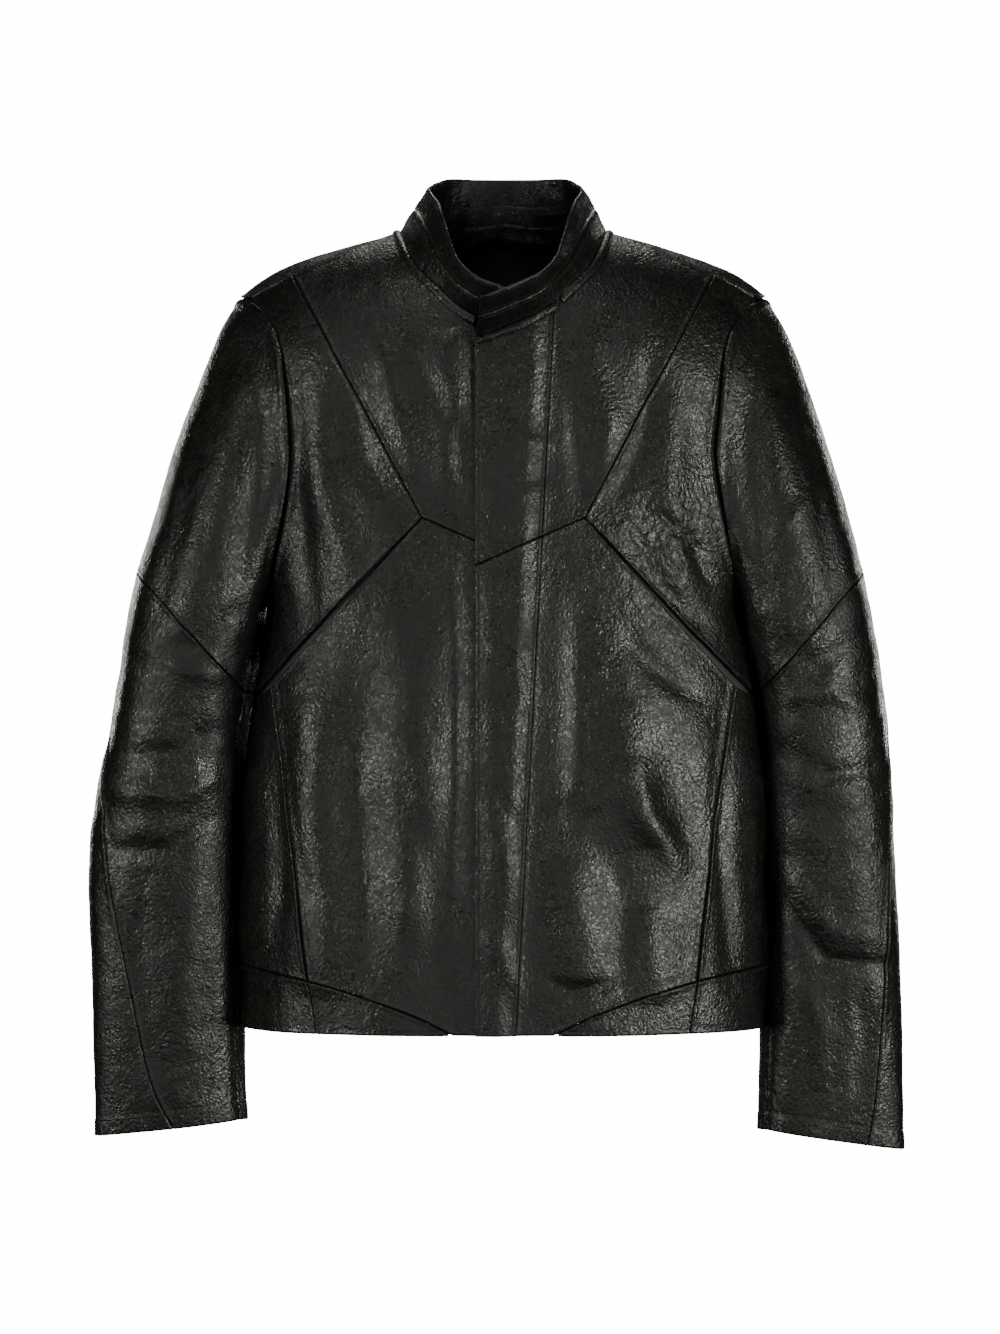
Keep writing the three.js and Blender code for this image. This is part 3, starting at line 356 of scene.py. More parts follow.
# ================= seams, folds and creases =================
STITCH_IN = 3.2  # stitching line beside a seam or edge
FLY_STITCH_IN = 4.4
CUFF_HEM = 15  # stitched turning at the cuff


def seam_profile(d, kind):
    """Height of the leather at distance d from an edge: it rolls down into a seam and puffs up beside it."""
    if kind == "seam":
        return -1.3 * np.exp(-((d / 0.5) ** 2)) + 0.55 * np.exp(-(((d - 1.9) / 1.3) ** 2))
    if kind == "lapped":
        return (0.9 * np.exp(-((d / 5) ** 2)) - 1.1 * np.exp(-((d / 0.5) ** 2))
                - 0.35 * np.exp(-(((d - STITCH_IN) / 0.7) ** 2)))
    if kind == "mouth":
        return -2.6 * np.exp(-((d / 1.2) ** 2)) + 1.2 * np.exp(-(((d - 4) / 2.6) ** 2))
    if kind == "armhole":
        return -2.2 * np.exp(-((d / 1.3) ** 2)) + 1.3 * np.exp(-(((d - 6) / 3.4) ** 2))
    if kind == "cuff":
        return (0.5 * smooth(d, CUFF_HEM - 0.4, CUFF_HEM - 1.6) - 0.4 * np.exp(-((d / 0.8) ** 2))
                - 0.45 * np.exp(-(((d - CUFF_HEM) / 0.8) ** 2)))
    if kind == "free":
        return -0.4 * np.exp(-((d / 0.8) ** 2)) - 0.3 * np.exp(-(((d - STITCH_IN) / 0.7) ** 2))
    return np.zeros_like(d)


def stroke_height(x, z, points, width, height):
    """A fold along a front-view line, fading towards both ends."""
    best = np.full(x.shape, 1e9)
    place = np.zeros(x.shape)
    run = np.concatenate([[0], np.cumsum([math.dist(a, b) for a, b in zip(points, points[1:])])])
    for i, ((x0, z0), (x1, z1)) in enumerate(zip(points, points[1:])):
        dx, dz = x1 - x0, z1 - z0
        size = dx * dx + dz * dz
        t = np.clip(((x - x0) * dx + (z - z0) * dz) / size, 0, 1)
        d = np.hypot(x - x0 - t * dx, z - z0 - t * dz)
        closer = d < best
        best = np.where(closer, d, best)
        place = np.where(closer, (run[i] + t * math.sqrt(size)) / run[-1], place)
    return height * np.exp(-((best / width) ** 2)) * np.sin(np.pi * np.clip(place, 0.02, 0.98)) ** 0.6


def waves(p, wavelength, heading, spread, count, seed, stretch=1.0):
    """Seeded ripples: plane waves of about one wavelength and heading (radians in XZ), summed."""
    own = np.random.default_rng(seed)
    total = np.zeros(p.shape[:-1])
    for _ in range(count):
        turn = heading + own.normal(0, spread)
        size = 2 * math.pi / (wavelength * math.exp(own.normal(0, 0.28)))
        k = np.array([math.cos(turn) * size, own.normal(0, 0.4) * size, math.sin(turn) * size * stretch])
        total += np.sin(p @ k + own.uniform(0, 2 * math.pi))
    return total / math.sqrt(count)


def creases(p, wavelength, heading, spread, seed):
    """Sharp-bottomed crease lines between soft swells, about 0 to 1."""
    a = waves(p, wavelength, heading, spread, 5, seed)
    b = waves(p, wavelength * 2.3, heading + 0.7, spread, 4, seed + 1)
    return np.exp(-((a + 0.4 * b) * 2.2) ** 2)


# Folds of the front: (points, width, height), height below 0 for a valley.
FRONT_FOLDS = [
    # broad crowns that catch the light
    ([(92, -375), (112, -500)], 26, 4.6),
    ([(50, -500), (66, -622)], 22, 4.8),
    ([(-154, -370), (-148, -540)], 19, 4.4),
    ([(-44, -80), (-38, -165)], 22, 4.0),
    ([(-140, -520), (-150, -620)], 20, 3.4),
    ([(112, -540), (124, -625)], 20, 3.6),
    ([(-12, -440), (14, -560)], 16, 2.2),
    # soft vertical valleys and swells of the wearer's right front
    ([(-106, -310), (-114, -450), (-104, -600)], 21, -5.0),
    ([(-70, -330), (-64, -450), (-78, -590)], 17, 2.6),
    ([(-40, -250), (-37, -400), (-46, -560)], 10, -2.2),
    ([(-88, -420), (-60, -500), (-52, -600)], 12, -1.6),
    ([(-186, -400), (-178, -500), (-184, -600)], 11, -3.0),
    # the wearer's left front: broad swells below the chest, drag lines to the side
    ([(58, -300), (60, -400), (56, -480)], 10, -2.6),
    ([(100, -420), (112, -470), (150, -520)], 12, 3.4),
    ([(84, -500), (96, -540), (98, -610)], 15, -2.6),
    ([(128, -400), (146, -470), (160, -560)], 16, -2.6),
    ([(30, -470), (70, -460), (104, -430)], 9, 2.0),
    ([(178, -400), (176, -500), (186, -610)], 9, -3.0),
    ([(30, -600), (56, -610), (90, -604)], 6, -1.8),
    ([(96, -322), (120, -352), (160, -380)], 9, -2.2),
    # chest and yokes
    ([(-66, -110), (-46, -160), (-44, -215)], 10, -2.6),
    ([(-98, -90), (-84, -150), (-62, -210)], 10, 2.6),
    ([(-124, -110), (-110, -190), (-76, -236)], 10, -2.2),
    ([(-150, -110), (-146, -210), (-120, -290)], 13, 3.0),
    ([(-164, -190), (-160, -260), (-150, -320)], 9, -2.6),
    ([(66, -100), (84, -150), (80, -210)], 11, 2.6),
    ([(54, -140), (60, -190), (64, -222)], 8, -2.2),
    ([(118, -100), (112, -170), (84, -226)], 10, -2.2),
    ([(140, -130), (132, -210), (150, -300)], 13, 3.0),
    ([(120, -230), (150, -250), (168, -290)], 8, -2.4),
    ([(100, -250), (128, -290), (170, -330)], 10, -2.6),
    # pulls across the fly
    ([(-14, -150), (14, -172), (44, -176)], 7, 1.9),
    ([(-16, -196), (8, -206), (40, -200)], 6, -1.8),
    ([(-12, -330), (10, -350), (22, -390)], 7, 1.6),
    ([(-14, -440), (6, -470), (14, -520)], 7, -1.6),
    ([(-16, -560), (2, -584), (10, -612)], 7, 1.8),
]

# Folds of the sleeves in front view, for the wearer's right at negative x.
SLEEVE_FOLDS = [
    ([(-212, -100), (-222, -190), (-232, -280)], 13, 4.0),
    ([(-192, -120), (-198, -210), (-214, -300)], 10, -3.6),
    ([(-244, -160), (-262, -240), (-282, -330)], 10, -3.0),
    ([(-206, -300), (-240, -330), (-290, -350)], 9, -3.2),
    ([(-222, -360), (-262, -352), (-300, -330)], 8, 2.8),
    ([(-224, -400), (-262, -420), (-318, -424)], 8, -3.2),
    ([(-226, -436), (-262, -458), (-322, -452)], 9, 2.8),
    ([(-230, -470), (-270, -500), (-330, -500)], 8, -2.8),
    ([(-250, -520), (-262, -600), (-256, -680)], 11, 3.0),
    ([(-292, -500), (-296, -590), (-286, -690)], 12, -2.8),
    ([(212, -100), (222, -190), (236, -280)], 12, 3.6),
    ([(192, -130), (200, -220), (216, -310)], 10, -3.4),
    ([(246, -150), (258, -230), (272, -320)], 9, -3.0),
    ([(268, -200), (246, -220), (214, -250)], 7, 2.4),
    ([(222, -330), (252, -350), (300, -320)], 9, -3.0),
    ([(224, -380), (262, -372), (308, -392)], 8, 2.6),
    ([(228, -420), (262, -440), (318, -430)], 8, -3.0),
    ([(226, -540), (262, -590), (330, -596)], 6, -3.6),
    ([(232, -520), (268, -566), (326, -574)], 8, 2.6),
    ([(240, -600), (262, -650), (256, -700)], 10, 2.8),
    ([(292, -610), (296, -660), (290, -710)], 9, -2.6),
]


def folds(p, strokes):
    x, z = p[..., 0], p[..., 2]
    total = np.zeros(x.shape)
    for points, width, height in strokes:
        low = np.min(points, axis=0) - 3 * width
        high = np.max(points, axis=0) + 3 * width
        near = (x > low[0]) & (x < high[0]) & (z > low[1]) & (z < high[1])
        if near.any():
            total[near] += stroke_height(x[near], z[near], points, width, height)
    return total


def torso_relief(p):
    """Folds and creases of the torso, calmer at the neck and shoulders and cut off at the side seams."""
    x, z = p[..., 0], p[..., 2]
    front = smooth(-p[..., 1], 6, 26)
    calm = 0.35 + 0.65 * smooth(-z, 60, 170)
    soft = 1.5 * waves(p, 110, 0.15, 0.5, 7, 3, 0.6) * calm
    fine = 0.10 * waves(p, 26, 0.4, 0.9, 9, 5)
    pits = -0.22 * creases(p, 40, 0.5, 0.9, 8) * smooth(waves(p, 150, 1.0, 1.5, 6, 9), 0.1, 1.2)
    # a crackled patch below the wearer's left chest seam
    patch = np.exp(-(((x - 128) / 46) ** 2) - ((z + 258) / 60) ** 2) * front
    crackle = -0.75 * patch * (creases(p, 15, 0.4, 1.4, 20) + 0.8 * creases(p, 9, 1.6, 1.4, 24))
    rear = (1 - front) * (1.6 * waves(p, 70, 0.15, 0.35, 6, 14) * smooth(-z, 140, 330))
    return FOLD_STRENGTH * front * folds(p, FRONT_FOLDS) + soft + fine + pits + crackle + rear


def sleeve_relief(p):
    z = p[..., 2]
    ahead = smooth(-p[..., 1], -4, 18)
    soft = 1.5 * waves(p, 120, 0.3, 0.5, 7, 31, 0.6)
    elbow = np.exp(-(((z + 420) / 100) ** 2))
    across = (0.3 * elbow + 0.1) * waves(p, 46, 1.2, 0.4, 7, 33)
    fine = 0.10 * waves(p, 24, 0.8, 1.0, 8, 36)
    pits = -0.25 * creases(p, 34, 1.0, 0.7, 38)
    fade = smooth(-z, 55, 110) * (0.35 + 0.65 * smooth(z, -738, -690))
    return (SLEEVE_FOLD_STRENGTH * ahead * folds(p, SLEEVE_FOLDS) + soft + across + fine + pits) * fade


# ================= meshes =================
def shift_to_part(p):
    """From the drafting frame, whose shoulder ridge is y = 0, to the part's frame in metres."""
    moved = np.array(p, float)
    moved[..., 1] -= NECK_BASE_Y
    return moved * MM


def new_object(name, data):
    obj = bpy.data.objects.new(name, data)
    bpy.context.scene.collection.objects.link(obj)
    return obj


def make_mesh(name, vertices, faces, material, body, smooth_shading=True):
    mesh = bpy.data.meshes.new(name)
    mesh.from_pydata(shift_to_part(vertices).tolist(), [], faces)
    mesh.validate()
    mesh.update()
    if smooth_shading:
        mesh.shade_smooth()
    mesh.materials.append(material)
    obj = new_object(name, mesh)
    if body:
        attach(obj, body)
    return obj


def grid_faces(rows, columns, flip=False, closed=False):
    index = np.arange(rows * columns).reshape(rows, columns)
    if closed:
        index = np.concatenate([index, index[:, :1]], 1)
    quads = np.stack([index[:-1, :-1], index[1:, :-1], index[1:, 1:], index[:-1, 1:]], -1).reshape(-1, 4)
    return quads[:, ::-1].tolist() if flip else quads.tolist()


def sewn(*edges):
    return [(edge, STITCH_IN) for edge in edges]


def facing_faces(p, n):
    """The faces of a grid, turned the way its normals point."""
    turn = np.cross(p[1:, :-1] - p[:-1, :-1], p[:-1, 1:] - p[:-1, :-1])
    return grid_faces(*p.shape[:2], flip=np.median(np.sum(turn * n[:-1, :-1], -1)) < 0)


stitch_lines = defaultdict(list)  # body or blend name: (points, normals)


def note_stitches(group, p, n, distance, key, inset):
    """Records the line at a distance from an edge of a grid, for stitching."""
    if key in ("left", "right"):
        p, n, d = p.transpose(1, 0, 2), n.transpose(1, 0, 2), distance[key].T
    else:
        d = distance[key]
    rows = []
    for row_p, row_n, row_d in zip(p, n, d):
        order = np.argsort(row_d)
        rows.append([np.interp(inset, row_d[order], column[order]) for column in [*row_p.T, *row_n.T]])
    rows = np.array(rows)
    stitch_lines[group].append((rows[:, :3], rows[:, 3:]))


def turned_edge(p, n, side, thick, reach):
    """A grid and its normals, grown by rows that turn a free edge under itself."""
    axis = 0 if side in ("left", "right") else 1
    end = 0 if side in ("left", "bottom") else -1
    following = 1 if end == 0 else -2
    deep = 4 if end == 0 else -5
    edge, inner = np.take(p, end, axis), np.take(p, following, axis)
    out = unit(edge - inner)
    m = np.take(n, end, axis)
    rows = [edge + out * 0.5 - m * thick * 0.3, edge + out * 0.4 - m * thick * 0.75, edge - m * thick,
            np.take(p, deep, axis) - m * (thick + 0.2), np.take(p, deep, axis) - m * thick - out * reach]
    pad = [(0, 0)] * 3
    pad[axis] = (len(rows), 0) if end == 0 else (0, len(rows))
    joined = [np.stack(rows[::-1], axis), p] if end == 0 else [p, np.stack(rows, axis)]
    return np.concatenate(joined, axis), np.pad(n, pad, mode="edge")


def sheet(name, p, n, kinds, material, body, *, side, relief, group=None, offset=0.0, lift=None,
          stitched=(), turned=(), thick=2.2, reach=3):
    """A cut piece over a drafted grid: its folds and seams are raised, its stitching noted and its free edges
    turned. kinds are (edge, kind of seam), and side -1 mirrors the draft to the right."""
    mirror = np.array([side, 1, 1])
    p, n = p * mirror, n * mirror
    distance = edge_distances(p)
    height = relief(p) + offset
    if lift is not None:
        height = height + lift(p)
    for key, kind in kinds:
        height = height + seam_profile(distance[key], kind)
    p = p + n * height[..., None]
    n = grid_normals(p, n)
    for key, inset in stitched:
        note_stitches(group or body, p, n, distance, key, inset)
    for key in turned:
        p, n = turned_edge(p, n, key, thick, reach)
    return make_mesh(name, p.reshape(-1, 3), facing_faces(p, n), material, body)


SEAMED, PLAIN = ("seam",) * 4, ("plain",) * 4


def panel(name, edges, kinds, material, *, side=1, relief=torso_relief, body="torso", step=2.4, nodes=(),
          **how):
    """A piece of the torso between four edges. edges are (bottom, right, top, left), kinds the same."""
    p, n = torso_surface(coons(*edges, step))
    obj = sheet(name, p, n, zip(("bottom", "right", "top", "left"), kinds), material, body,
                side=side, relief=relief, **how)
    if nodes:
        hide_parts(*nodes)


# ================= materials =================
def fill(tree, node, inputs):
    """Sets a node's inputs, each to a number, a colour or another node's output."""
    for key, value in inputs.items():
        if hasattr(value, "links"):
            tree.links.new(value, node.inputs[key])
        else:
            node.inputs[key].default_value = value


class Look:
    """A material being made: every method adds a node and returns its output."""

    def __init__(self, name):
        self.material = bpy.data.materials.new(name)
        self.material.use_nodes = True
        self.tree = self.material.node_tree
        self.coords = self.tree.nodes.new("ShaderNodeTexCoord").outputs["Object"]

    def add(self, kind, output, inputs, **settings):
        node = self.tree.nodes.new("ShaderNode" + kind)
        for key, value in settings.items():
            setattr(node, key, value)
        fill(self.tree, node, inputs)
        return node.outputs[output]

    def finish(self, colour, rough, normal, **others):
        inputs = {"Base Color": colour, "Roughness": rough, "Normal": normal}
        inputs.update({key.replace("_", " "): value for key, value in others.items()})
        fill(self.tree, self.tree.nodes["Principled BSDF"], inputs)
        return self.material

    def noise(self, scale, detail=6.0, roughness=0.55, distortion=0.0):
        return self.add("TexNoise", "Fac", {"Scale": scale, "Detail": detail, "Roughness": roughness,
                                            "Distortion": distortion, "Vector": self.coords})

    def cell_edges(self, scale):
        return self.add("TexVoronoi", "Distance", {"Scale": scale, "Vector": self.coords},
                        feature="DISTANCE_TO_EDGE")

    def combine(self, kind, a, b, clamp=False):
        return self.add("Math", 0, {0: a, 1: b}, operation=kind, use_clamp=clamp)

    def ramp(self, value, low, high, out_low=0.0, out_high=1.0):
        return self.add("MapRange", "Result", {"From Min": low, "From Max": high, "To Min": out_low,
                                               "To Max": out_high, "Value": value},
                        interpolation_type="SMOOTHSTEP")

    def colours(self, share, low, high):
        return self.add("Mix", "Result", {"Factor": share, "A": (*low, 1), "B": (*high, 1)}, data_type="RGBA")

    def bump(self, height, distance, strength=1.0, before=None):
        inputs = {"Strength": strength, "Distance": distance, "Height": height}
        if before is not None:
            inputs["Normal"] = before
        return self.add("Bump", "Normal", inputs)


def leather_material(name, wear=1.0, roughness=0.28):
    """Waxed black leather: pebbled grain that glints, crackle, and rubbed blotches between dull ones."""
    look = Look(name)
    blotch = look.noise(12, 9, 0.68, 0.5)
    patch = look.noise(40, 7, 0.70, 0.3)
    fleck = look.noise(330, 4, 0.7, 0.1)
    spots = look.combine("MULTIPLY", look.ramp(patch, 0.36, 0.60), look.ramp(fleck, 0.40, 0.60))
    rubbed = look.combine("MULTIPLY", look.ramp(blotch, 0.42, 0.62), spots)
    worn = look.combine("MULTIPLY", rubbed, wear, True)
    colour = look.colours(worn, (0.0030, 0.0029, 0.0023), (0.030, 0.029, 0.024))
    dull = look.combine("ADD", look.ramp(patch, 0.34, 0.66, 0.08, -0.03),
                        look.ramp(blotch, 0.36, 0.62, 0.15, -0.05))
    rough = look.combine("ADD", look.ramp(fleck, 0.38, 0.62, roughness + 0.13, roughness - 0.10), dull)
    pebble = look.bump(look.noise(420, 2, 0.5), 0.0010, 0.8)
    cracks = look.bump(look.ramp(look.cell_edges(130), 0.0, 0.08), 0.0003, 0.25, pebble)
    swell = look.bump(look.noise(60, 5, 0.55, 0.5), 0.0016, 0.5, cracks)
    return look.finish(colour, rough, swell, Specular_IOR_Level=0.6)


def cloth_material(name, colour, roughness=0.5, sheen=0.3):
    """Satin lining with a fine twill."""
    look = Look(name)
    twill = look.add("TexWave", "Fac", {"Scale": 420, "Distortion": 1.5, "Detail": 2, "Vector": look.coords})
    tone = look.noise(30, 4)
    return look.finish(look.colours(look.ramp(tone, 0.3, 0.7), colour, tuple(1.8 * c for c in colour)),
                       look.ramp(tone, 0.3, 0.7, roughness, roughness + 0.15), look.bump(twill, 0.0002, 0.4),
                       Sheen_Weight=sheen, Sheen_Roughness=0.4)


def metal_material(name):
    """Blackened zip metal, bright where it has rubbed."""
    look = Look(name)
    scuff = look.noise(260, 6, 0.7)
    return look.finish(look.colours(look.ramp(scuff, 0.45, 0.7), (0.05, 0.048, 0.045), (0.32, 0.31, 0.29)),
                       look.ramp(scuff, 0.3, 0.7, 0.42, 0.24), look.bump(look.noise(900, 3), 0.00006, 0.4),
                       Metallic=1.0)


def thread_material(name):
    look = Look(name)
    twist = look.noise(1500, 2)
    return look.finish(look.colours(twist, (0.016, 0.016, 0.014), (0.060, 0.058, 0.050)),
                       look.ramp(twist, 0.3, 0.7, 0.45, 0.7), look.bump(twist, 0.00015, 0.6))


SHELL = leather_material("shell_leather")
FACING = leather_material("facing_leather", 0.35, 0.42)
LINING = cloth_material("lining_cloth", (0.03, 0.03, 0.03))
TAPE = cloth_material("zip_tape_weave", (0.009, 0.009, 0.009), 0.8, 0.1)
LABEL = cloth_material("label_satin", (0.03, 0.03, 0.03), 0.4, 0.2)
METAL = metal_material("zip_metal")
THREAD = thread_material("waxed_thread")

# ================= the neck and the collar =================
COLLAR_TOP = [
    (0, 42, 47.6), (28, 39, 47.5), (46, 27, 46.5), (57, 8, 41), (62, -16, 34), (60, -34, 27),
    (54, -54, 16), (47, -76, -5), (39, -98, -27), (24, -116, -43), (0, -124, -54), (-20, -126, -62)]
COLLAR_RISE, COLLAR_LEAN = 5.5, 2.5  # how far the top edge stands up and leans to the wearer's left
collar_top = along(COLLAR_TOP)


def neck_base(a):
    x, z, over = neck_place(a)
    back = over > 0
    deep = depth_at(z, back) * np.sqrt(np.maximum(0, side_share(x, z)))
    return np.stack([x, np.where(back, 1, -1) * deep * np.abs(np.sin(over)), z], -1)


NECK_BASE_Y = float(neck_base(np.array([0.0]))[0, 1])


def collar_point(t, h):
    """t runs -1 at the right front end to 1 at the left front end; h runs 0 to 1 up the collar."""
    a = np.where(t < 0, -t * RIGHT_END, t)
    base = neck_base(a)
    top = np.stack(np.broadcast_arrays(*collar_top(a)), -1)
    top[..., 2] += COLLAR_RISE * smooth(top[..., 2], -40, 20)
    p = lerp(base, top, h[..., None])
    p[..., 1] -= np.where(t > 0, OVERLAP_STEP * smooth(a, 0.62, 0.8), 0)
    p[..., 0] *= np.where(t < 0, -1, 1)
    p[..., 0] += COLLAR_LEAN * np.clip(h, 0, 1)
    return p


def collar_frame(t, h, d=0.004):
    across = collar_point(np.minimum(1, t + d), h) - collar_point(np.maximum(-1, t - d), h)
    up = collar_point(t, h + d) - collar_point(t, h - d)
    return collar_point(t, h), -unit(np.cross(across, up))


def collar_band(name, low, high, node=None, inset=0.0, thick=COLLAR_THICK):
    """A padded band of the collar: a closed section swept round the neck, inset for the layer inside it."""
    t = np.linspace(-1, 1, 300)
    rise = np.array([0, 0.03, 0.08, 0.16, 0.3, 0.5, 0.7, 0.84, 0.92, 0.97, 1.0])
    puff = np.array([0.15, 0.62, 0.86, 0.98, 1.0, 1.0, 1.0, 0.98, 0.88, 0.66, 0.2])
    section_h = np.concatenate([rise, rise[::-1]])
    section_o = np.concatenate([puff, -puff[::-1]]) * thick / 2
    tt, hh = np.meshgrid(t, lerp(low, high, section_h), indexing="ij")
    p, n = collar_frame(tt, hh)
    soft = 0.7 * waves(p, 42, 0.2, 0.6, 6, 51) + 0.35 * waves(p, 16, 1.2, 1.0, 6, 53)
    crease = -0.5 * creases(p, 22, 0.3, 0.8, 55)
    ends = smooth(1 - np.abs(tt), 0.0, 0.03)
    p = p + n * (section_o[None, :] * (0.35 + 0.65 * ends) + (soft + crease) * 0.8 - inset)[..., None]
    normals = n * np.sign(section_o)[None, :, None]
    for k in (3, 18, 7, 14):
        stitch_lines["torso"].append((p[:, k], normals[:, k]))
    rows, columns = p.shape[:2]
    faces = grid_faces(rows, columns, closed=True, flip=True)
    faces.append(list(range(columns)))
    faces.append(list(range((rows - 1) * columns, rows * columns))[::-1])
    obj = make_mesh(name, p.reshape(-1, 3), faces, SHELL, "torso")
    if node:
        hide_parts(node)


def binding_strip(name, u, body, lift=None):
    """A stretch of the raised band at the collar's foot. u: places on the neck line, below 0 on the right."""
    a = np.abs(u)
    out = np.array([0.3, 0.6, 1.3, 2.2, 3.6, 5.0, 6.2, 7.0, 7.4, 7.6])
    rise = np.array([-0.6, 1.3, 2.3, 2.9, 3.1, 2.9, 2.3, 1.5, 0.4, -0.8])
    d = 0.01
    uv, ahead, behind = neck_uv(a), neck_uv(np.minimum(1, a + d)), neck_uv(np.maximum(0, a - d))
    run = unit(ahead - behind)
    beside = np.stack([-run[:, 1], run[:, 0]], -1)
    beside *= np.where(beside[:, :1] + 1e-3 * a[:, None] < -0.4, -1, 1)
    inward_behind = (uv[:, :1] < 20) & (uv[:, 1:] < 0) & (beside[:, 1:] > 0)
    beside = np.where(inward_behind, -beside, beside)
    inward_ahead = (uv[:, :1] < 40) & (uv[:, 1:] > 90) & (beside[:, 1:] < 0)
    beside = np.where(inward_ahead, -beside, beside)
    grid = uv[:, None] + beside[:, None] * out[None, :, None]
    p, n = torso_surface(grid)
    height = rise[None, :] + 0.25 * waves(p, 30, 0.4, 1.0, 5, 61)
    if lift is not None:
        height = height + lift(p)
    p = p + n * height[..., None]
    mirror = np.where(u < 0, -1, 1)[:, None]
    p[..., 0] *= mirror
    n[..., 0] *= mirror
    n = grid_normals(p, n)
    inside = slice(6, -3)
    stitch_lines[body].append((p[inside, 7], n[inside, 7]))
    return make_mesh(name, p.reshape(-1, 3), facing_faces(p, n), SHELL, body)


def neck_binding():
    right_end, left_end = neck_at_x(ZIP_OPENING - ZIP_X), neck_at_x(FLY_TOP_X + 2)
    piece = binding_strip("neck_binding_piece", np.linspace(-right_end, left_end, 260), "torso")
    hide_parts("neck_binding")
    over_fly = binding_strip("fly_binding", np.linspace(left_end + 0.02, 0.999, 60), "fly_flap", fly_lift)


# ================= the torso's panels =================
SIDES = (("left", 1), ("right", -1))


def front_edge(side, z):
    return fly_x(z) if side > 0 else (ZIP_OPENING - ZIP_X) + 0 * z


def edge_line(side, low, high):
    z = np.linspace(low, high, max(4, int((high - low) / 4)))
    return to_uv(front_edge(side, z), z)


def beside_zip(p):
    """The torso's relief, flat next to the zip, where the slider and its pull pass."""
    return torso_relief(p) * smooth(np.abs(p[..., 0] - ZIP_X), 13, 36)


def hem_seam(start, end):
    return curve(lambda x: (x, hem_seam_z(x)), start, end)


def front_panels(label, side):
    foot_x = float(front_edge(side, FRONT_SEAM_Z))
    foot_z = float(yoke_z(foot_x))
    neck_t = float(neck_at_x(front_edge(side, NECK_EDGE_Z)))
    pocket_foot = (float(pocket_x(POCKET_FOOT_Z)), POCKET_FOOT_Z)
    chest_end = side_line(CHEST_END_Z)
    yoke_seam = line((foot_x, foot_z), YOKE_POINT)
    chest_seam = line(YOKE_POINT, SHOULDER_END)
    lower_chest_seam = line(YOKE_POINT, chest_end)
    yoke_top = np.concatenate([neck_run(neck_t, NECK_END, 60), line(NECK_CORNER, SHOULDER_END)])
    shell = dict(material=SHELL, side=side, relief=torso_relief if side > 0 else beside_zip)
    closing = "lapped" if side > 0 else "free"
    panel(f"yoke_{label}", (yoke_seam, chest_seam, yoke_top, edge_line(side, foot_z, neck_z(neck_t))),
          ("seam", "seam", "seam", closing), nodes=[f"front_yoke_{label}"],
          stitched=sewn("right", "bottom"), **shell)

    chest_side = np.concatenate([curve(side_line, CHEST_END_Z, SIDE_TOP_Z, count=20),
                                 curve(armhole, -1, ARMHOLE_TOP)])
    shoulder = line(SHOULDER_END, SHOULDER_TIP, SHOULDER_CORNER)
    panel(f"chest_{label}", (lower_chest_seam, chest_side, shoulder, chest_seam),
          ("seam", "armhole", "seam", "seam"), nodes=[f"front_chest_{label}"],
          stitched=sewn("bottom"), **shell)

    hem_foot = line((float(front_edge(side, HEM_Z)), HEM_Z), (HEM_TIP_X, HEM_Z))
    lower_bottom = np.concatenate([hem_foot, hem_seam(HEM_TIP_X, pocket_foot[0])])
    lower_top = np.concatenate([yoke_seam, line(YOKE_POINT, POCKET_TOP)])
    pocket = line(pocket_foot, POCKET_TOP)
    panel(f"lower_{label}", (lower_bottom, pocket, lower_top, edge_line(side, HEM_Z, foot_z)),
          ("seam", "mouth", "seam", closing), nodes=[f"front_lower_{label}"],
          stitched=sewn("right", "bottom"), **shell)

    side_hem = hem_seam(pocket_foot[0], float(half_width(SIDE_HEM_Z)) * SIDE_HEM_SHARE)
    side_seam = curve(side_line, SIDE_HEM_Z, CHEST_END_Z)
    panel(f"side_{label}", (side_hem, side_seam, line(POCKET_TOP, chest_end), pocket), SEAMED,
          nodes=[f"front_side_{label}"], stitched=[("left", STITCH_IN + 2)], **shell)

    hem_corner = (POCKET_HEM_X, HEM_Z)
    tip_x = HEM_TIP_X + 4
    tip = line((tip_x, HEM_Z), (tip_x, float(hem_seam_z(tip_x))))
    hem = dict(turned=["bottom"], stitched=sewn("top"), **shell)
    corner_seam = line(hem_corner, pocket_foot)
    panel(f"hem_front_{label}", (line((tip_x, HEM_Z), hem_corner), corner_seam,
          hem_seam(tip_x, pocket_foot[0]), tip), ("free", "seam", "seam", "plain"),
          nodes=[f"hem_front_{label}"], **hem)
    panel(f"hem_side_{label}", (line(hem_corner, side_line(HEM_Z)), curve(side_line, HEM_Z, SIDE_HEM_Z),
          side_hem, corner_seam), ("free", "seam", "seam", "seam"), nodes=[f"hem_side_{label}"], **hem)


def back_seam(low, high):
    """A seam straight up the middle of the back."""
    return line((0, low), (0, high), back=True)


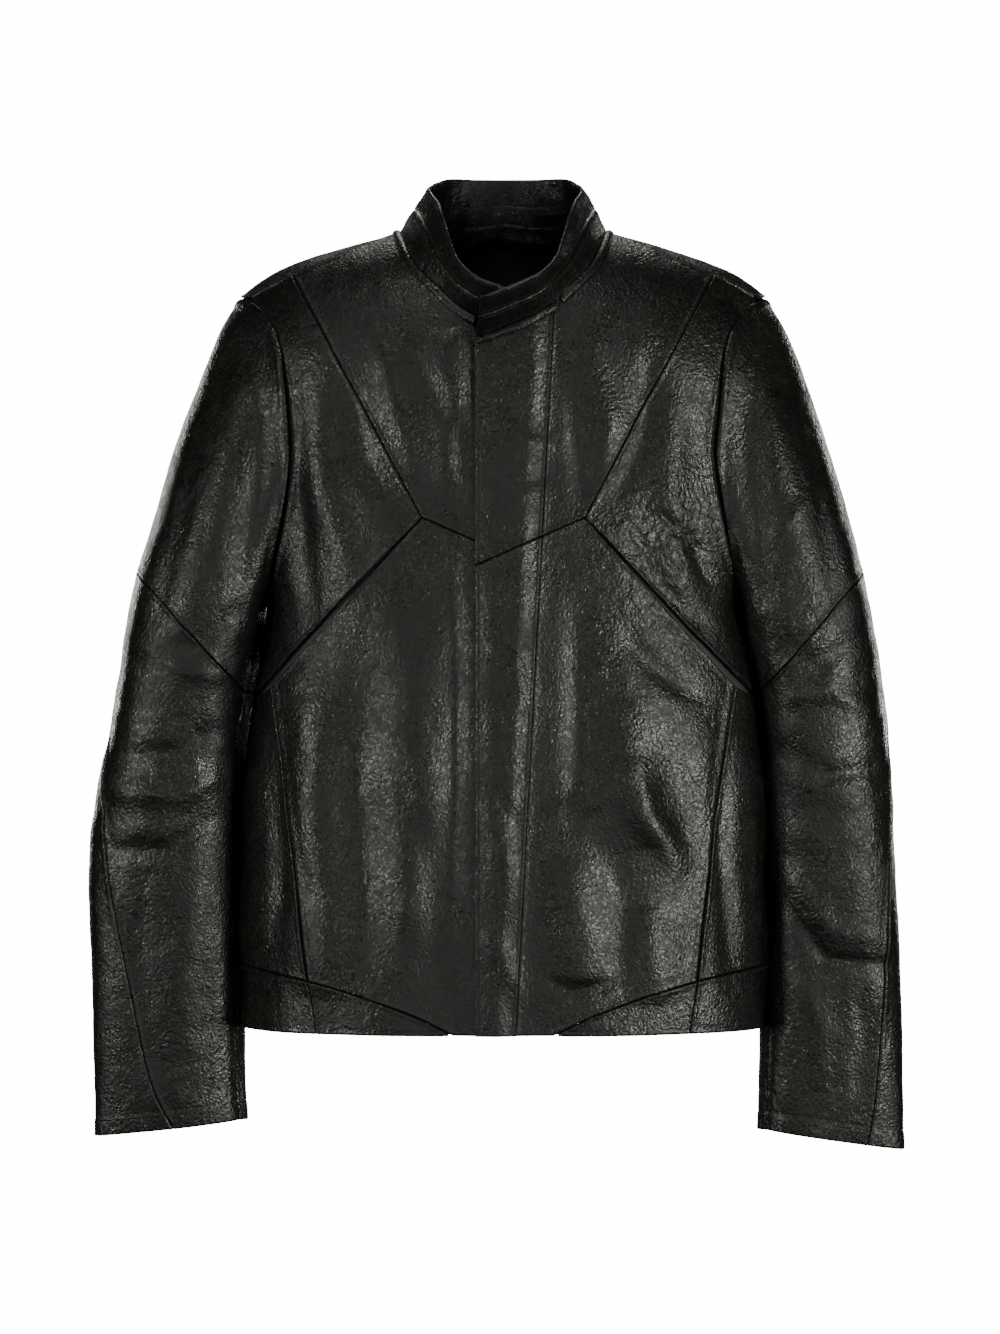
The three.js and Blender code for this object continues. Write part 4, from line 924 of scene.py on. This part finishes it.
def back_panels():
    edge_x, _ = armhole(np.array(ARMHOLE_YOKE))
    half_bottom = line((0, BACK_YOKE_Z), (float(edge_x), BACK_YOKE_Z), back=True)
    half_top = np.concatenate([neck_run(0, NECK_END, 50),
                               line(NECK_CORNER, SHOULDER_END, SHOULDER_TIP, SHOULDER_CORNER)])
    over_end = np.concatenate([curve(armhole, ARMHOLE_YOKE, ARMHOLE_TOP, back=True), half_top[-1:]])
    panel("yoke_back", (both(half_bottom), over_end, both(half_top), over_end * FLIP), SEAMED, SHELL,
          nodes=["back_yoke"], stitched=sewn("bottom", "top"))
    for label, side in SIDES:
        outer = np.concatenate([curve(side_line, HEM_Z, SIDE_TOP_Z, back=True),
                                curve(armhole, -1, ARMHOLE_YOKE, back=True)])
        panel(f"back_body_{label}", (line((0, HEM_Z), side_line(HEM_Z), back=True), outer, half_bottom,
              back_seam(HEM_Z, BACK_YOKE_Z)), ("free", "seam", "seam", "seam"), SHELL, side=side, step=3.2,
              nodes=[f"back_{label}"], turned=["bottom"], stitched=sewn("left"))


# ---- the fly ----
def fly_lift(p):
    """The fly stands over the zip and comes down to the front at both edges."""
    x, z = p[..., 0], p[..., 2]
    return smooth(fly_x(z) - x, 0, 16) * (4.2 - 1.6 * smooth(-x, 8, 21))


def fly():
    inner_seam_z = yoke_z(-FLY_OVERLAP)
    outer_x = float(fly_x(FLY_SEAM_Z))
    outer_seam_z = yoke_z(outer_x)
    seam = line((-FLY_OVERLAP, inner_seam_z), (outer_x, outer_seam_z))
    free = lambda low, high: line((-FLY_OVERLAP, low), (-FLY_OVERLAP, high))
    common = dict(material=SHELL, body="fly_flap", lift=fly_lift, step=2.0,
                  stitched=[("left", FLY_STITCH_IN), ("right", 2.0)])
    panel("fly_upper_piece", (seam, edge_line(1, outer_seam_z, FLY_NECK_Z),
          neck_run(NECK_FOOT, float(neck_at_x(FLY_TOP_X)), 40), free(inner_seam_z, neck_z(NECK_FOOT))),
          ("seam", "lapped", "seam", "free"), nodes=["fly_upper"], turned=["left"], **common)
    panel("fly_lower_piece", (line((-FLY_OVERLAP, HEM_Z), (FLY_HEM_X, HEM_Z)),
          edge_line(1, HEM_Z, outer_seam_z), seam, free(HEM_Z, inner_seam_z)),
          ("free", "lapped", "seam", "free"), nodes=["fly_lower"],
          turned=["left", "bottom"], **common)


# ================= the sleeves =================
RINGS = [
    (215, -49, 194, -300, 60, 1), (227, -80, 197.5, -314, 61, 0.72), (245, -133, 200.5, -330, 62, 0.4),
    (268, -207, 205.5, -350, 62, 0.12), (287, -274, 211, -373, 58, 0), (303, -338, 215.5, -402, 52, 0),
    (318, -407, 217.5, -440, 46, 0), (327, -461, 219.5, -480, 41, 0), (331, -530, 220.5, -538, 35, 0),
    (331, -610, 221, -612, 28, 0), (330, -690, 219.5, -684, 21, 0), (329, -740, 218, -727, 17, 0)]
LAST_RING = len(RINGS) - 1
UPPER_SEAM = 4
SEAM_START = 5.5
UNDERARM_SEAM = -40 * DEG
SECTION_POWER = 0.88
FOREARM_SEAM = {"left": 66, "right": 94}
ring = along(RINGS)


# How each sleeve lies, ring by ring, over its even draft: outwards at its outer edge, and down at its cuff.
OUTER_SWAY = {"right": through(list(enumerate([0, 7, 8, 11, 12, 8, 8, 10, 10, 6.5, 5.5, 6]))),
              "left": through(list(enumerate([0, 6, 8, 9, 7, 3, -2.5, -6, -8, -6, -2.5, 0])))}
CUFF_DROP = {"right": (-4, -4), "left": (7, 4)}
CLOSING_IN = 13


def lie(p, vw, label):
    """Moves a sleeve's points to how it lies, and closes its back in behind the torso's side."""
    v, w = vw[..., 0], vw[..., 1]
    out = (1 + rounded(np.cos(w))) / 2
    moved = p.copy()
    behind = np.maximum(0, np.sin(np.clip(np.mod(w, 2 * math.pi) - math.pi * 0.97, 0, math.pi / 2) * 2))
    moved[..., 0] += out * OUTER_SWAY[label](v) - (1 - out) * 2.4 * smooth(v, 0.6, 2.4)
    moved[..., 0] -= CLOSING_IN * behind * smooth(v, 0.4, 2.2)
    low_out, low_in = CUFF_DROP[label]
    moved[..., 2] -= lerp(low_in, low_out, out) * smooth(v, 8.5, LAST_RING)
    return moved


def rounded(a):
    return np.sign(a) * np.abs(a) ** SECTION_POWER


def sleeve_point(v, w):
    """v is the ring, w the angle round it: 0 at the outer end, 90 degrees in front, 180 at the inner end."""
    c, s = rounded(np.cos(w)), rounded(np.sin(w))
    ox, oz, ix, iz, half, bow = ring(np.clip(v / LAST_RING, 0, 1))
    t = (1 + c) / 2
    ax, az = armhole(c)
    seam = half_depth(ax, az, s < 0)
    deep = lerp(seam, half * np.abs(s), smooth(v, 0, 1.1))
    return np.stack([lerp(ix, ox, t) - bow * bow_at(c), -np.sign(s) * deep, lerp(iz, oz, t)], -1)


def sleeve_surface(vw):
    v, w = vw[..., 0], vw[..., 1]
    d = 0.02
    p = sleeve_point(v, w)
    down = sleeve_point(v + d, w) - sleeve_point(np.maximum(0, v - d), w)
    turn = sleeve_point(v, w + d) - sleeve_point(v, w - d)
    n = unit(np.cross(turn, down))
    axis = sum(sleeve_point(v, np.full_like(w, k * math.pi / 2)) for k in range(4)) / 4
    return p, n * np.where(np.sum(n * (p - axis), -1, keepdims=True) < 0, -1, 1)


def sleeve_grid(start, end, low, high, step):
    """Rings down the sleeve and columns round it between two seams, given as angles by ring."""
    lengths = np.linspace(start, end, 60)
    p = sleeve_point(lengths, np.full(60, math.pi / 2))
    v = np.interp(spacing(length_of(p), step), np.linspace(0, 1, 60), lengths)
    middle = np.full(80, (start + end) / 2)
    turn = np.linspace(0, 1, 80)
    girth = length_of(sleeve_point(middle, lerp(low(middle), high(middle), turn)))
    s = spacing(girth, step)
    vv, ss = np.meshgrid(v, s, indexing="ij")
    return np.stack([vv, lerp(low(vv), high(vv), ss)], -1)


def sleeve_panel(name, label, side, grid, kinds, material, *, nodes, blended=True, **how):
    """A piece of a sleeve over a grid of (ring, angle). kinds: its upper, lower, first and last edges."""
    p, n = sleeve_surface(grid)
    obj = sheet(name, lie(p, grid, label), n, zip(("left", "right", "bottom", "top"), kinds), material,
                None if blended else "torso", group=f"sleeve_{label}" if blended else "torso",
                side=side, relief=sleeve_relief, **how)
    if blended:
        blend_sleeve(obj)
    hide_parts(*nodes)


def blend_sleeve(obj):
    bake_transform(obj)


def sleeves():
    plain = lambda angle: (lambda v: angle + 0 * v)
    for label, side in SIDES:
        top = FOREARM_SEAM[label] * DEG
        seam = lambda v: top * np.clip((v - SEAM_START) / (LAST_RING - SEAM_START), 0, 1) ** 0.8
        upper = sleeve_grid(0.0, UPPER_SEAM, plain(UNDERARM_SEAM), plain(UNDERARM_SEAM + 360 * DEG), 2.6)
        sleeve_panel(f"sleeve_upper_{label}", label, side, upper, ("armhole", "seam", "seam", "seam"), SHELL,
                     nodes=[f"sleeve_upper_front_{label}", f"sleeve_upper_back_{label}"],
                     stitched=sewn("right"), blended=False)
        for place, low, high, step, kinds, stitched in (
                ("front", seam, plain(math.pi), 2.4, ("seam", "cuff", "seam", "plain"),
                 [("bottom", STITCH_IN), ("right", CUFF_HEM)]),
                ("back", plain(-math.pi), seam, 2.8, ("seam", "cuff", "plain", "seam"),
                 [("right", CUFF_HEM)])):
            sleeve_panel(f"sleeve_lower_{place}_{label}", label, side,
                         sleeve_grid(UPPER_SEAM, LAST_RING, low, high, step), kinds, SHELL,
                         nodes=[f"sleeve_elbow_{place}_{label}", f"sleeve_forearm_{place}_{label}"],
                         stitched=stitched, turned=["right"], reach=10)
        inner = sleeve_grid(0.3, LAST_RING - 0.3, plain(-math.pi), plain(math.pi), 6)
        sleeve_panel(f"sleeve_lining_{label}", label, side, inner, PLAIN, LINING, offset=SLEEVE_LINING_IN,
                     nodes=[f"sleeve_lining_{part}_{label}" for part in ("upper", "elbow", "forearm")])


# ================= inside the torso =================
def inner_side(end, back):
    """The lining's outer edge, up the side seam and round the armhole."""
    return np.concatenate([curve(side_line, LINING_FOOT, SIDE_TOP_Z, back=back),
                           curve(armhole, -1, LINING_ARMHOLE, back=back), *end])


def inner_panels():
    facing_t = float(neck_at_x(FACING_X))
    facing_top = neck_z(facing_t)
    facing_edge = lambda low, high: line((FACING_X, low), (FACING_X, high))
    for label, side in SIDES:
        inner_x = ZIP_OPENING + ZIP_X if side > 0 else ZIP_OPENING - ZIP_X
        inner_t = float(neck_at_x(inner_x))
        panel(f"facing_{label}", (line((inner_x, TURNING_FOOT), (FACING_X, TURNING_FOOT)),
              facing_edge(TURNING_FOOT, facing_top), neck_run(inner_t, facing_t, 30),
              line((inner_x, TURNING_FOOT), (inner_x, neck_z(inner_t)))), ("free", "seam", "seam", "free"),
              FACING, side=side, offset=FACING_IN, step=4, nodes=[f"front_facing_{label}"],
              stitched=[("left", 3.0)], turned=["left"], thick=1.2)
        top = np.concatenate([neck_run(facing_t, NECK_END, 30),
                              line(NECK_CORNER, SHOULDER_END, SHOULDER_TIP)])
        panel(f"lining_{label}", (line((FACING_X, LINING_FOOT), side_line(LINING_FOOT)),
              inner_side([], False), top, facing_edge(LINING_FOOT, facing_top)), PLAIN, LINING, side=side,
              offset=LINING_IN, step=6,
              nodes=[f"lining_front_{label}", f"pocket_bag_{label}", f"pocket_welt_{label}"])
        for place, inner, edge, nodes in (("back", 0, back_seam, [f"hem_facing_{label}"]),
                                          ("front", FACING_X, facing_edge, [])):
            back = place == "back"
            across = lambda z: line((inner, z), side_line(z), back=back)
            panel(f"hem_turning_{place}_{label}", (across(TURNING_FOOT),
                  curve(side_line, TURNING_FOOT, TURNING_TOP, back=back), across(TURNING_TOP),
                  edge(TURNING_FOOT, TURNING_TOP)), PLAIN, FACING, side=side, offset=TURNING_IN, step=5,
                  nodes=nodes)
    half_top = np.concatenate([neck_run(0, NECK_END, 40),
                               line(BACK_LINING_CORNER, SHOULDER_END, SHOULDER_TIP)])
    outer = inner_side([to_uv(*SHOULDER_TIP)[None]], True)
    foot = both(line((0, LINING_FOOT), side_line(LINING_FOOT), back=True))
    panel("lining_back_piece", (foot, outer, both(half_top), outer * FLIP), PLAIN, LINING,
          offset=BACK_LINING_IN, step=6, nodes=["lining_back"])
    half_foot = line(*NECK_FACING_FOOT, back=True)
    neck_side = neck_run(0, NECK_FACING_END, 40)
    end = np.stack([half_foot[-1], neck_side[-1]])
    panel("neck_facing", (both(half_foot), end, both(neck_side), end * FLIP),
          ("free", "plain", "seam", "plain"), FACING, offset=FACING_IN, step=3, nodes=["back_neck_facing"],
          stitched=[("bottom", 2.5)], turned=["bottom"], thick=-1.2)
    label_edge = lambda z: both(line((0, z), (LABEL_X, z), back=True))
    label_end = line((LABEL_X, LABEL_FOOT), (LABEL_X, LABEL_TOP), back=True)
    panel("blank_label", (label_edge(LABEL_FOOT), label_end, label_edge(LABEL_TOP), label_end * FLIP), PLAIN,
          LABEL, offset=LABEL_IN, step=2, nodes=["neck_label"])


# ================= stitching =================
STITCH_LENGTH, STITCH_GAP, THREAD_THICK = 2.6, 1.0, 0.55


def stitching():
    """Sunken dashes of thread along every recorded line, one piece for each body."""
    section = [(math.cos(k * math.pi / 3), math.sin(k * math.pi / 3)) for k in range(6)]
    for group, lines in stitch_lines.items():
        vertices, faces = [], []
        for points, normals in lines:
            run = run_of(points)
            for start in np.arange(2, run[-1] - STITCH_LENGTH - 2, STITCH_LENGTH + STITCH_GAP):
                ends = [np.array([np.interp(q, run, points[:, k]) for k in range(3)])
                        for q in (start, start + STITCH_LENGTH)]
                m = np.array([np.interp(start, run, normals[:, k]) for k in range(3)])
                heading = unit(ends[1] - ends[0])
                m = unit(m - heading * (m @ heading))
                across = np.cross(heading, m)
                first = len(vertices)
                for share, size, sink in ((0, 0.35, -0.25), (0.2, 1, 0.02), (0.8, 1, 0.02), (1, 0.35, -0.25)):
                    centre = lerp(ends[0], ends[1], share) + m * sink
                    for c, s in section:
                        vertices.append(centre + (across * c + m * s) * THREAD_THICK / 2 * size)
                for k in range(3):
                    for j in range(6):
                        a, b = first + 6 * k + j, first + 6 * k + (j + 1) % 6
                        faces.append([a, b, b + 6, a + 6])
                faces.append([first + j for j in range(6)][::-1])
                faces.append([first + 18 + j for j in range(6)])
        blended = group.startswith("sleeve_")
        obj = make_mesh(f"stitches_{group}", np.array(vertices), faces, THREAD, None if blended else group)
        if blended:
            blend_sleeve(obj)


# ================= the zip =================
def zip_fastener():
    for node in ("zip_teeth_left", "zip_teeth_right"):
        teeth(node, *(np.array(corner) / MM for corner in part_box(node)))
    for node, material in (("zip_tape_left", TAPE), ("zip_tape_right", TAPE), ("zip_box", METAL),
                           ("zip_slider", METAL), ("zip_pull", METAL)):
        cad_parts[node].data.materials.clear()
        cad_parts[node].data.materials.append(material)


def teeth(node, low, high):
    """A row of separate rounded teeth in the bar's space."""
    pitch, tooth = 2.1, 1.3
    profile = [(0, 0.28), (0.25, 0), (0.8, 0), (1, 0.3), (1, 0.7), (0.8, 1), (0.25, 1), (0, 0.72)]
    if "right" in node:
        profile = [(1 - a, b) for a, b in profile][::-1]
    vertices, faces = [], []
    for z in np.arange(low[2] + 0.3, high[2] - tooth, pitch):
        first = len(vertices)
        for level in (z, z + tooth):
            for a, b in profile:
                vertices.append((lerp(low[0], high[0], a), lerp(low[1], high[1], b) + NECK_BASE_Y, level))
        count = len(profile)
        faces += [[first + k, first + (k + 1) % count, first + count + (k + 1) % count, first + count + k]
                  for k in range(count)]
        faces.append([first + k for k in range(count)][::-1])
        faces.append([first + count + k for k in range(count)])
    obj = make_mesh(f"{node}_row", np.array(vertices), faces, METAL, "torso", smooth_shading=False)
    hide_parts(node)


# ================= the studio =================
def studio():
    floor_mesh = bpy.data.meshes.new("floor")
    size, low = 9.0, -1.7
    corners = [(-size, -size, low), (size, -size, low), (size, size, low), (-size, size, low)]
    floor_mesh.from_pydata(corners, [], [(0, 1, 2, 3)])
    floor = new_object("floor", floor_mesh)
    look = Look("pale_floor")
    fill(look.tree, look.tree.nodes["Principled BSDF"], {
        "Base Color": (0.9, 0.9, 0.9, 1), "Emission Color": (1, 1, 1, 1), "Emission Strength": 15.6,
        "Roughness": 1.0})
    floor_mesh.materials.append(look.material)
    floor.visible_glossy = floor.visible_diffuse = False

    world = bpy.data.worlds.new("studio")
    world.use_nodes = True
    bpy.context.scene.world = world
    nodes, links = world.node_tree.nodes, world.node_tree.links
    path = nodes.new("ShaderNodeLightPath")
    strength = nodes.new("ShaderNodeMapRange")
    strength.inputs["To Min"].default_value = 0.025
    strength.inputs["To Max"].default_value = 16.0
    links.new(path.outputs["Is Camera Ray"], strength.inputs["Value"])
    links.new(strength.outputs["Result"], nodes["Background"].inputs["Strength"])
    nodes["Background"].inputs["Color"].default_value = (1, 1, 1, 1)

    centre = np.array([0, -0.055, -0.35])
    for name, place, width, height, power in (
            ("left_strip", (-2.1, -1.75, -0.35), 0.4, 1.2, 21),
            ("right_strip", (1.9, -1.9, -0.5), 0.45, 1.1, 35),
            ("top_front", (-0.2, -1.7, 1.9), 1.2, 0.4, 15),
            ("key", (-0.4, -2.9, 0.3), 0.4, 0.4, 2.5),
            ("low", (0.1, -2.6, -1.05), 0.6, 0.2, 5),
            ("rear_left", (-1.7, 2.1, 0.1), 0.4, 1.4, 18),
            ("rear_right", (1.7, 2.1, 0.1), 0.4, 1.4, 18),
            ("rear_low", (0.0, 2.8, -0.5), 0.8, 0.5, 16),
            ("rear_top", (0.0, 1.7, 2.2), 1.2, 0.4, 22)):
        data = bpy.data.lights.new(name, "AREA")
        data.shape = "RECTANGLE"
        data.size, data.size_y, data.energy = width, height, power
        data.color = (1.0, 0.99, 0.93)
        light = new_object(name, data)
        light.location = place
        light.rotation_euler = Vector(np.array(place) - centre).to_track_quat("Z", "Y").to_euler()

    data = bpy.data.cameras.new("camera")
    data.sensor_fit = "VERTICAL"
    data.sensor_height = 36
    data.lens = 100
    camera = new_object("camera", data)
    camera.location = (-0.0025, -3.04 + centre[1], -0.352)
    camera.rotation_euler = (math.pi / 2, 0, 0)
    bpy.context.scene.camera = camera


for side_label, side_sign in SIDES:
    front_panels(side_label, side_sign)
back_panels()
fly()
sleeves()
inner_panels()
collar_band("collar_stand_piece", -0.05, COLLAR_SEAM, "collar_stand")
collar_band("collar_top_piece", COLLAR_SEAM, 1.0, "collar_top_band")
collar_band("collar_inner_layer", 0.04, 0.62, inset=4.2, thick=1.6)
collar_band("collar_inner_edge", 0.1, 0.34, inset=6.6, thick=1.4)
neck_binding()
stitching()
zip_fastener()
studio()
